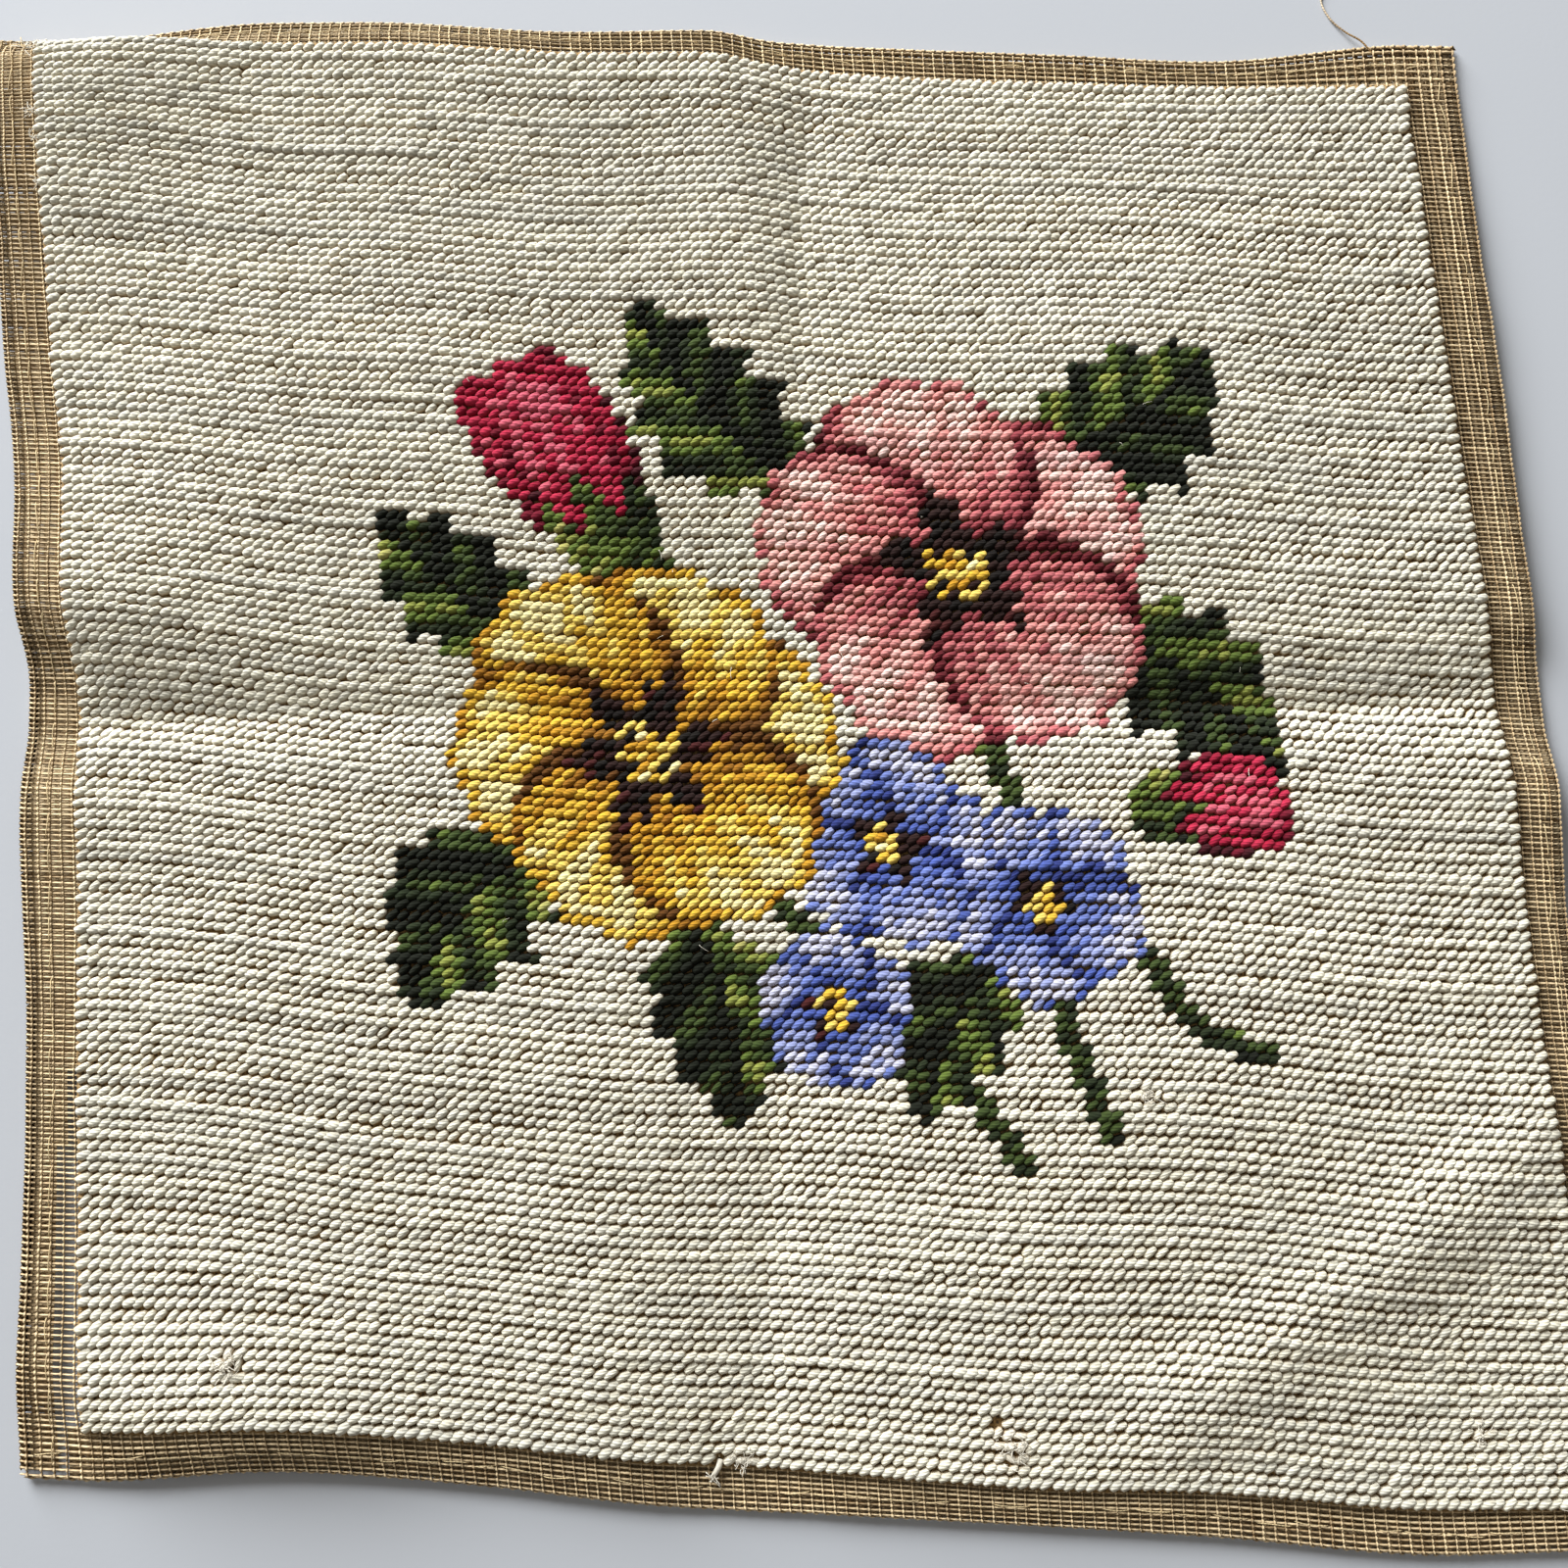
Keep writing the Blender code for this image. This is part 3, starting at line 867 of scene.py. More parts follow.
@dataclass(frozen=True)
class Bud:
    """A closed flower of three folded petals, held in a green cup."""

    base: tuple[float, float]
    angle: float
    length: float
    dye: Dye = Dye.CRIMSON

    def paint(self, chart: Chart) -> None:
        """Draws the bud on the chart."""
        x, y = chart.column - self.base[0], chart.row - self.base[1]
        out = (x * math.cos(self.angle) + y * math.sin(self.angle)) / self.length
        aside = (y * math.cos(self.angle) - x * math.sin(self.angle)) / self.length
        for shift, wide, glow in ((0.2, 0.24, 0.1), (-0.2, 0.24, 0.0), (0.0, 0.25, 0.25)):
            reach = np.hypot((out - 0.5) / 0.5, (aside - shift * (0.35 + out * 0.5)) / wide)
            light = 0.25 + 0.55 * out + glow - 0.4 * eased((reach - 0.7) / 0.3)
            light = light + 0.12 * np.cos(aside * 40) + 0.18 * chart.grain
            chart.paint(reach < 1, self.dye, light)
        cup = (out < 0.26 + 0.16 * np.cos(aside * 26)) & (np.hypot(out - 0.12, aside * 1.1) < 0.3)
        chart.paint(cup, Dye.GREEN, 0.5 + 0.35 * chart.grain + aside)


SPRAY = (
    Stem(((62, 56), (72, 44), (82, 35), (89, 25))),
    Stem(((86, 72), (92, 56), (93, 42), (97, 28))),
    Stem(((97, 52), (102, 44), (106, 38), (112, 36))),
    Stem(((58, 84), (61, 78), (66, 72))),
    Leaf((74, 88), (60, 107), 8, 2),
    Leaf((98, 92), (115, 104), 8, -1.5),
    Leaf((100, 76), (117, 62), 8, 2),
    Leaf((47, 72), (33, 84), 7, 1.5),
    Leaf((46, 52), (34, 36), 8, -2),
    Leaf((60, 46), (63, 27), 7.5, 1.5),
    Leaf((88, 44), (80, 28), 6, -1),
    Bud((56, 82), 2.05, 20),
    Bud((104, 58), 0.15, 13),
    Bloom(93, 49, 9.5, Dye.BLUE, 5, 0.9, 0.26),
    Bloom(79, 54, 10, Dye.BLUE, 5, 0.1, 0.26),
    Bloom(88, 81, 19, Dye.PINK, 5, 0.5, 0.3),
    Bloom(57, 62, 18.5, Dye.YELLOW, 6, 0.2, 0.3),
    Bloom(73, 38, 7.5, Dye.BLUE, 5, 0.4, 0.28),
)


@dataclass(frozen=True)
class TapestryWool:
    """Four-ply tapestry wool, spun and dyed: matt, with a soft halo and twisted plies."""

    name: str = "tapestry wool, four-ply"
    roughness: float = 0.95
    sheen: float = 0.1
    halo: float = 0.45  # how far fibres standing off the yarn even out its light and shade
    plies_in_stitch: float = 5.0  # twist lines along a stitch
    fleck: tuple = (0.84, 1.06)  # darkest and lightest fibres, as shares of the dye's colour
    painted_ply_shade: tuple = (0.86, 1.06)  # darkest and lightest: painted shade between the plies and painted light on them, as shares of the dye's colour
    relief: float = 0.25  # depth of the plies and fibres, in millimetres

    def make(self) -> bpy.types.Material:
        """Builds the material."""
        material, tree, shader = start_finish(self.name)
        shader.inputs["Sheen Weight"].default_value = self.sheen
        shader.inputs["Sheen Roughness"].default_value = 0.6
        shader.inputs["Specular IOR Level"].default_value = 0.12
        yarn = add_node(tree, "Attribute", attribute_name="yarn")
        lie = add_node(tree, "Attribute", attribute_name="lie")
        round_yarn = add_node(tree, "NewGeometry")
        own = add_scale(tree, round_yarn.outputs["Normal"], 1 - self.halo)
        share = (self.halo, self.halo, self.halo)
        evened = add_node(
            tree,
            "VectorMath",
            {0: lie.outputs["Vector"], 1: share, 2: own},
            operation="MULTIPLY_ADD",
        )
        soft = add_node(tree, "VectorMath", {0: evened.outputs["Vector"]}, operation="NORMALIZE")
        place = add_node(tree, "TexCoord")
        fibres = add_node(
            tree, "TexNoise", {"Vector": place.outputs["Object"], "Scale": 1500.0, "Detail": 3.0}
        )
        turned = add_node(
            tree,
            "Mapping",
            {
                "Vector": place.outputs["UV"],
                "Scale": (6.0, self.plies_in_stitch, 1.0),
                "Rotation": (0, 0, 0.5),
            },
        )
        plies = add_node(
            tree, "TexWave", {"Vector": turned.outputs["Vector"], "Scale": 0.5, "Distortion": 0.6}
        )
        fleck = add_range(tree, fibres.outputs["Fac"], self.fleck, (0.3, 0.7))
        # Painted shade and light along the plies' twist
        painted_ply_shade = add_range(tree, plies.outputs["Fac"], self.painted_ply_shade)
        shade = add_node(tree, "Math", {0: fleck, 1: painted_ply_shade}, operation="MULTIPLY")
        uneven = add_scale(tree, yarn.outputs["Color"], shade.outputs["Value"])
        tree.links.new(uneven, shader.inputs["Base Color"])
        span = self.roughness - 0.08, self.roughness + 0.05
        rough = add_range(tree, fibres.outputs["Fac"], span)
        tree.links.new(rough, shader.inputs["Roughness"])
        relief = add_node(
            tree, "MixRGB", {0: 0.45, 1: plies.outputs["Color"], 2: fibres.outputs["Color"]}
        )
        add_relief(
            tree, shader, relief.outputs["Color"], 0.55, self.relief * MM, soft.outputs["Vector"]
        )
        return material


@dataclass(frozen=True)
class SpunCotton:
    """Sized cotton canvas thread: tightly spun, tan, with a dull glaze from the size."""

    name: str = "sized cotton canvas, spun and woven"
    twist: float = 0.45  # millimetres from one twist line to the next
    roughness: float = 0.7
    slub: tuple = (0.72, 1.2)  # darkest and lightest places, as shares of the thread's colour
    relief: float = 0.12  # depth of the twist, in millimetres

    def make(self) -> bpy.types.Material:
        """Builds the material."""
        material, tree, shader = start_finish(self.name)
        shader.inputs["Specular IOR Level"].default_value = 0.35
        yarn = add_node(tree, "Attribute", attribute_name="yarn")
        place = add_node(tree, "TexCoord")
        slub = add_node(
            tree, "TexNoise", {"Vector": place.outputs["Object"], "Scale": 420.0, "Detail": 4.0}
        )
        shade = add_range(tree, slub.outputs["Fac"], self.slub, (0.3, 0.7))
        uneven = add_scale(tree, yarn.outputs["Color"], shade)
        tree.links.new(uneven, shader.inputs["Base Color"])
        span = self.roughness - 0.12, self.roughness + 0.15
        rough = add_range(tree, slub.outputs["Fac"], span)
        tree.links.new(rough, shader.inputs["Roughness"])
        turned = add_node(
            tree,
            "Mapping",
            {
                "Vector": place.outputs["UV"],
                "Scale": (1.0, 1 / self.twist, 1.0),
                "Rotation": (0, 0, 0.6),
            },
        )
        strands = add_node(tree, "TexWave", {"Vector": turned.outputs["Vector"], "Scale": 0.32})
        add_relief(tree, shader, strands.outputs["Color"], 0.5, self.relief * MM)
        return material


@dataclass(frozen=True)
class GroundCanvas:
    """The canvas under the wool: the same tan cotton, with its threads and holes painted dark as the
    shade under the stitches.
    """

    name: str = "sized cotton canvas under the wool"
    # painted shade: the threads darker than the margins' own tan and the holes near black, for the
    # shade under the stitches
    thread: str = "#8C7044"
    painted_hole_shade: str = "#2E1F0E"
    pitch: float = 1.33  # millimetres from one thread to the next
    relief: float = 0.4  # from the holes to the threads, in millimetres

    def make(self) -> bpy.types.Material:
        """Builds the material."""
        material, tree, shader = start_finish(self.name)
        shader.inputs["Roughness"].default_value = 0.85
        place = add_node(tree, "TexCoord")
        bands = []
        for turn in (0.0, math.pi / 2):
            turned = add_node(
                tree, "Mapping", {"Vector": place.outputs["Object"], "Rotation": (0, 0, turn + 0.06)}
            )
            wave = add_node(
                tree,
                "TexWave",
                {"Vector": turned.outputs["Vector"], "Scale": 2 * math.pi / 20 / (self.pitch * MM)},
            )
            bands.append(wave.outputs["Fac"])
        woven = add_node(tree, "Math", {0: bands[0], 1: bands[1]}, operation="MAXIMUM")
        tone = add_node(
            tree, "MixRGB", {0: woven.outputs["Value"], 1: linear(self.painted_hole_shade), 2: linear(self.thread)}
        )
        tree.links.new(tone.outputs["Color"], shader.inputs["Base Color"])
        add_relief(tree, shader, woven.outputs["Value"], 0.6, self.relief * MM)
        return material


@dataclass(frozen=True)
class StudioPaper:
    """Pale matt background paper: even, with hardly any grain."""

    name: str = "pale background paper"
    colour: str = "#ABB1BB"
    relief: float = 0.2  # depth of the grain, in millimetres

    def make(self) -> bpy.types.Material:
        """Builds the material."""
        material, tree, shader = start_finish(self.name)
        shader.inputs["Roughness"].default_value = 0.9
        shader.inputs["Base Color"].default_value = linear(self.colour)
        place = add_node(tree, "TexCoord")
        grain = add_node(tree, "TexNoise", {"Vector": place.outputs["Object"], "Scale": 700.0})
        add_relief(tree, shader, grain.outputs["Fac"], 0.05, self.relief * MM)
        return material


@dataclass
class StudioView:
    """The camera over the panel, the pale floor and the soft light."""

    tilt: float = math.radians(8.2)
    stand: tuple = (0.00216, -0.06780, 0.38898)
    lens: float = 36.45
    floor_size: float = 3.0
    key_from: tuple = (-1.75, 2.6, 1.3)
    key_size: float = 2.2
    key_power: float = 350.0
    key_colour: tuple = (1.0, 0.985, 0.95)
    fill: float = 0.3
    fill_colour: tuple = (1.0, 0.92, 0.8)  # warmed by the room

    def build_camera(self) -> None:
        """Sets the camera where the photograph was taken from."""
        data = bpy.data.cameras.new("camera")
        data.lens, data.sensor_width = self.lens, 36.0
        data.clip_start, data.clip_end = 0.01, 20.0
        camera = bpy.data.objects.new("camera", data)
        camera.location, camera.rotation_euler = self.stand, (self.tilt, 0, 0)
        bpy.context.scene.collection.objects.link(camera)
        bpy.context.scene.camera = camera

    def build_floor(self) -> None:
        """Lays the floor just under the cloth's lowest points."""
        deselect()
        bpy.ops.mesh.primitive_plane_add(size=self.floor_size, location=(0, 0, -0.00003))
        floor = bpy.context.object
        floor.name = "floor"
        floor.data.materials.append(StudioPaper().make())

    def build_light(self) -> None:
        """Hangs one soft light beyond the top left corner, and fills the rest evenly."""
        data = bpy.data.lights.new("key", "AREA")
        data.shape, data.size = "DISK", self.key_size
        data.energy, data.color = self.key_power, self.key_colour
        key = bpy.data.objects.new("key", data)
        key.location = self.key_from
        aim = np.array(self.key_from)
        key.rotation_euler = (
            math.acos(aim[2] / np.linalg.norm(aim)),
            0,
            math.atan2(aim[0], -aim[1]),
        )
        bpy.context.scene.collection.objects.link(key)
        world = bpy.data.worlds.new("even light")
        world.use_nodes = True
        sky = world.node_tree.nodes["Background"]
        sky.inputs["Color"].default_value = (*self.fill_colour, 1)
        sky.inputs["Strength"].default_value = self.fill
        bpy.context.scene.world = world
        bpy.context.scene.view_settings.view_transform = "Standard"


@dataclass
class StrayThread:
    """The canvas thread that hangs out of the top hem near its right end."""

    leaves_at: float = 0.979  # share of the way along the top
    thick: float = 0.5
    sides: int = 10
    twist: float = 2.4  # millimetres for a whole turn of its two strands
    route: tuple = (  # right, up and height, from where it leaves
        (0.6, -2.2, 2.0),
        (-1.9, 1.2, 1.9),
        (-5.5, 4.4, 0.9),
        (-9.0, 8.3, 0.35),
        (-11.2, 12.8, 0.3),
        (-10.8, 16.2, 0.3),
        (-7.0, 22.5, 0.3),
        (-0.2, 27.0, 0.3),
        (3.5, 28.6, 0.3),
    )
    at_hem: str = "#86693F"
    at_end: str = "#CFC3AE"

    def path(self) -> Array:
        """The thread's middle line, in metres."""
        edge = 1 + SHAPE.margins[3] / SHAPE.field[1]
        x, y = SHAPE.seen_from_above(np.array([self.leaves_at]), np.array([edge]))
        share = np.linspace(0, 1, 90)
        right, up, height = (
            along(np.array([bend[axis] for bend in self.route]), share) for axis in range(3)
        )
        return MM * np.stack(
            (
                x[0] - SHAPE.middle[0] + right,
                y[0] + SHAPE.gap - SHAPE.middle[1] + up,
                height,
            ),
            axis=-1,
        )

    def build(self, finish: bpy.types.Material) -> bpy.types.Object:
        """Args:
            finish: The canvas thread's material.

        Returns:
            The piece.
        """
        path = self.path()
        length = np.concatenate(([0], np.cumsum(np.linalg.norm(np.diff(path, axis=0), axis=1))))
        turn = np.arange(self.sides) * 2 * math.pi / self.sides
        twist = length[:, None] / MM * 2 * math.pi / self.twist
        radii = self.thick / 2 * MM * (0.74 + 0.26 * np.abs(np.cos(turn[None, :] - twist)))
        paler = eased(length / length[-1] * 2.2 - 0.3)[:, None]
        colours = np.array(linear(self.at_hem)) * (1 - paler) + np.array(linear(self.at_end)) * paler
        parts = JoinedMesh()
        parts.add(*tube(path, radii, self.sides), np.repeat(colours, self.sides, axis=0))
        piece = parts.build("stray_thread", finish)
        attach(piece, BODY)
        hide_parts("loose_thread")
        return piece


@dataclass(frozen=True)
class WornSpot:
    """A place where the yarn is matted, pulled out or gone."""

    across: float  # as a share of the field
    up: float
    reach: float  # millimetres
    gone: tuple = ()  # missing stitches, as columns and rows from the middle one
    fibres: int = 60

    @property
    def middle(self) -> tuple[int, int]:
        """The column and the row of the spot's middle stitch."""
        return int(self.across * SHAPE.stitches_across), int(self.up * SHAPE.stitches_up)


WORN = (
    WornSpot(0.0985, 0.0437, 3.0, (), 40),
    WornSpot(0.6145, 0.0226, 4.6, ((-1, 2),), 44),
    WornSpot(0.7253, 0.2538, 2.4, (), 16),
    WornSpot(0.4300, 0.0070, 2.8, ((-2, 0),), 34),
    WornSpot(0.925, 0.047, 2.4, (), 16),
)


@dataclass
class Needlework:
    """The needlepoint: every stitch of the face, and the yarn's way across the back."""

    half_length: float = 2.2
    half_width: float = 1.15
    height: float = 1.9
    slant: float = math.radians(29)
    foot: float = 2.2
    back_size: tuple = (2.8, 0.95, 0.85)  # half length, half width and height on the back
    back_slant: float = math.radians(27)
    back_foot: float = 1.3
    back_shade: tuple = (0.93, 0.92, 0.9, 1)
    loose_share: float = 0.08  # stitches that lie thin, with a dark crease beside them
    matted: str = "#F2EEE2"
    # painted shade: each stitch's lower part is darkened and browned towards its foot, standing in for
    # the shade in the grooves between rows
    painted_foot_shade: tuple = (0.56, 0.39, 0.22)
    shortest_strand: int = 12
    longest_strand: int = 44
    chart: Chart = field(default_factory=Chart)

    def model_stitch(self, segments: int, rings: int) -> UnitMesh:
        """Models one stitch: half of a plump roll of yarn, its ends drawn into the canvas.

        Args:
            segments: Faces round the whole roll.
            rings: Bands along it.

        Returns:
            The stitch along x, 1 long and 1 wide to either side, and 1 high.
        """
        deselect()
        bpy.ops.mesh.primitive_uv_sphere_add(segments=segments, ring_count=rings, radius=1)
        roll = bpy.context.object
        bpy.ops.object.mode_set(mode="EDIT")
        bpy.ops.mesh.select_all(action="SELECT")
        bpy.ops.transform.rotate(value=math.pi / 2, orient_axis="Y", center_override=(0, 0, 0))
        bpy.ops.mesh.select_all(action="SELECT")
        bpy.ops.mesh.bisect(
            plane_co=(0, 0, 0), plane_no=(0, 0, 1), clear_inner=True, threshold=0.001
        )
        pick(roll, lambda place: 0.3 < abs(place.x) < 0.9)
        bpy.ops.transform.resize(value=(1.04, 1.16, 1.16), center_override=(0, 0, 0))
        bpy.ops.object.mode_set(mode="OBJECT")
        return UnitMesh.taken_from(roll)

    def strands(self) -> tuple[Array, Array]:
        """Splits each row into the strands it was worked with.

        Returns:
            For each stitch, how plump and how light its strand is, around 0.
        """
        chance = np.random.default_rng(SEED + 1)
        plump = np.zeros(self.chart.codes.shape)
        light = np.zeros(self.chart.codes.shape)
        for row in range(self.chart.up):
            start = 0
            while start < self.chart.across:
                stop = start + int(chance.integers(self.shortest_strand, self.longest_strand))
                plump[row, start:stop] = chance.normal()
                light[row, start:stop] = chance.normal()
                start = stop
        return plump, light

    def colours(self, light: Array) -> Array:
        """Each stitch's own linear colour.

        Args:
            light: How light each stitch's strand is.

        Returns:
            Rows by columns by four.
        """
        chance = np.random.default_rng(SEED + 2)
        dyes = np.array([linear(code) for code in Dye.all_codes()])
        shade = dyes[self.chart.codes]
        single = chance.normal(size=light.shape)
        factor = 1 + 0.055 * np.clip(light, -2, 2) + 0.05 * np.clip(single, -2, 2)
        warm = 0.008 * np.clip(chance.normal(size=light.shape) + light, -2, 2)
        tint = np.stack((factor + warm * 0.4, factor, factor - warm * 1.6), axis=-1)
        shade = shade.copy()
        shade[..., :3] = np.clip(shade[..., :3] * tint, 0.002, 0.95)
        return shade

    def laid(self, unit: UnitMesh, centre: Array, size: Array, turn: Array, up: float) -> Array:
        """Lays copies of a stitch on the cloth.

        Args:
            unit: The stitch.
            centre: Each copy's flat place, its height that of the stitch's foot.
            size: Each copy's half length, half width and height.
            turn: Each copy's slant.
            up: 1 for the face, -1 for the back.

        Returns:
            Places in metres, copies by vertices by three.
        """
        local = unit.verts[None, :, :] * size[:, None, :]
        cos, sin = np.cos(turn)[:, None], np.sin(turn)[:, None]
        turned = np.stack(
            (
                local[..., 0] * cos - local[..., 1] * sin,
                local[..., 0] * sin + local[..., 1] * cos,
                up * local[..., 2],
            ),
            axis=-1,
        )
        return SHAPE.lay(turned + centre[:, None, :])

    def centres(self, rows: Array, columns: Array, foot: float, spread: Array) -> Array:
        """Where the stitches' feet stand on the flat cloth, a little unevenly.

        Args:
            rows: Each stitch's row.
            columns: Each stitch's column.
            foot: How high it stands.
            spread: Two random numbers for each stitch.

        Returns:
            Flat places in millimetres.
        """
        sway = 0.07 * np.sin(columns / 6.5 + 2.4 * rows) + 0.05 * np.sin(columns / 2.1 + 5.1 * rows)
        return np.stack(
            (
                (columns + 0.5) * SHAPE.stitch_width + 0.13 * spread[:, 0],
                (rows + 0.5) * SHAPE.stitch_height + sway + 0.08 * spread[:, 1],
                np.full(len(rows), foot),
            ),
            axis=-1,
        )

    def build_face(self, finish: bpy.types.Material) -> list[bpy.types.Object]:
        """Works the face of the field.

        Args:
            finish: The wool's material.

        Returns:
            The cream ground in three bands, and the flowers.
        """
        unit = self.model_stitch(8, 4)
        chance = np.random.default_rng(SEED + 3)
        plump, light = self.strands()
        colours = self.colours(light).reshape(-1, 4)
        rows, columns = (grid.reshape(-1) for grid in np.indices(plump.shape))
        plump = np.clip(plump.reshape(-1), -2, 2)
        spread = np.clip(chance.normal(size=(len(rows), 6)), -2.2, 2.2)
        thin = 1 - 0.16 * (chance.random(len(rows)) < self.loose_share)
        size = np.stack(
            (
                self.half_length * (1 + 0.045 * plump + 0.055 * spread[:, 0]),
                self.half_width * (1 + 0.06 * plump + 0.055 * spread[:, 1]) * thin,
                self.height * (1 + 0.07 * plump + 0.07 * spread[:, 2]),
            ),
            axis=-1,
        )
        turn = self.slant + math.radians(6) * spread[:, 3] - math.radians(3) * plump
        centre = self.centres(rows, columns, self.foot, spread[:, 4:])
        kept = np.full(len(rows), True)
        for spot in WORN:
            column, row = spot.middle
            away = np.hypot(
                (columns - column) * SHAPE.stitch_width, (rows - row) * SHAPE.stitch_height
            )
            matted = np.clip(1.5 - away / spot.reach, 0, 1)
            turn = turn + math.radians(34) * matted * spread[:, 5]
            size *= 1 - 0.16 * (matted * np.abs(spread[:, 5]))[:, None]
            pale = (0.8 * matted)[:, None]
            colours = colours * (1 - pale) + np.array(linear(self.matted)) * pale
            for aside, above in spot.gone:
                kept &= (columns != column + aside) | (rows != row + above)
        verts = self.laid(unit, centre, size, turn, 1.0)
        lies = SHAPE.facing(centre)
        worked = (self.chart.codes != Dye.CREAM.first + 1).reshape(-1)
        # Painted shade: colours darken and brown from each stitch's top down to its foot, standing in
        # for the shade in the grooves
        rise = np.clip(unit.verts[:, 2] * 1.25, 0, 1)[:, None]
        painted_foot_shade = np.array(self.painted_foot_shade) * (1 - rise) + rise
        shaded = np.repeat(colours[:, None, :], len(unit.verts), axis=1)
        shaded[..., :3] *= painted_foot_shade[None, :, :]
        pieces = []
        third = self.chart.up // 3
        for name, chosen in (
            ("wool_ground_lower", ~worked & (rows < third)),
            ("wool_ground_middle", ~worked & (rows >= third) & (rows < 2 * third)),
            ("wool_ground_upper", ~worked & (rows >= 2 * third)),
            ("wool_flowers", worked),
        ):
            chosen = chosen & kept
            parts = JoinedMesh()
            parts.add_many(unit, verts[chosen], shaded[chosen], lies[chosen])
            piece = parts.build(name, finish)
            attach(piece, BODY)
            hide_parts("wool_face")
            pieces.append(piece)
        return pieces

    def build_back(self, finish: bpy.types.Material) -> bpy.types.Object:
        """Lays the yarn's long slanting runs across the back.

        Args:
            finish: The wool's material.

        Returns:
            The piece.
        """
        unit = self.model_stitch(4, 3)
        chance = np.random.default_rng(SEED + 4)
        plump, light = self.strands()
        colours = self.colours(light).reshape(-1, 4)
        rows, columns = (grid.reshape(-1) for grid in np.indices(plump.shape))
        spread = np.clip(chance.normal(size=(len(rows), 3)), -2, 2)
        centre = self.centres(rows, columns, self.back_foot, spread[:, 1:])
        half_length, half_width, height = self.back_size
        inside = SHAPE.stitch_width * (columns + 0.6)
        size = np.stack(
            (
                np.minimum(half_length * (1 + 0.05 * spread[:, 0]), inside),
                half_width * (1 + 0.07 * spread[:, 1]),
                height * (1 + 0.08 * spread[:, 2]),
            ),
            axis=-1,
        )
        turn = self.back_slant + math.radians(3) * spread[:, 0]
        verts = self.laid(unit, centre, size, turn, -1.0)
        shaded = np.repeat(colours[:, None, :] * self.back_shade, len(unit.verts), axis=1)
        mirrored = UnitMesh(unit.verts, flipped(unit.loops, unit.sizes), unit.sizes, unit.uvs)
        parts = JoinedMesh()
        parts.add_many(mirrored, verts, shaded, -SHAPE.facing(centre))
        piece = parts.build("wool_reverse", finish)
        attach(piece, BODY)
        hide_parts("wool_back")
        return piece


def flipped(loops: Array, sizes: Array) -> Array:
    """Turns each face of a unit over.

    Args:
        loops: The vertices round each face, face after face.
        sizes: How many vertices each face has.

    Returns:
        The loops, with each face's own turned round.
    """
    ends = np.cumsum(sizes)
    return np.concatenate([loops[end - size : end][::-1] for end, size in zip(ends, sizes)])


class Run(Enum):
    """Which way a canvas thread runs."""

    UP = 0
    ACROSS = 1


class Side(Enum):
    """The margins, and the names of their pieces."""

    LEFT = 0
    RIGHT = 1
    BOTTOM = 2
    TOP = 3

    @property
    def piece(self) -> str:
        """What this margin's piece is called."""
        return f"canvas_margin_{self.name.lower()}"


class Layer(Enum):
    """Where a crossing lies, with the rings its upright and level threads need."""

    OPEN = 0
    FOLD = 1
    UNDER = 2
    HEM = 3

    @property
    def cuts(self) -> tuple[int, int]:
        """Rings between the ends of a length of upright thread and of level thread."""
        return ((2, 1), (2, 2), (2, 2), (1, 0))[self.value]


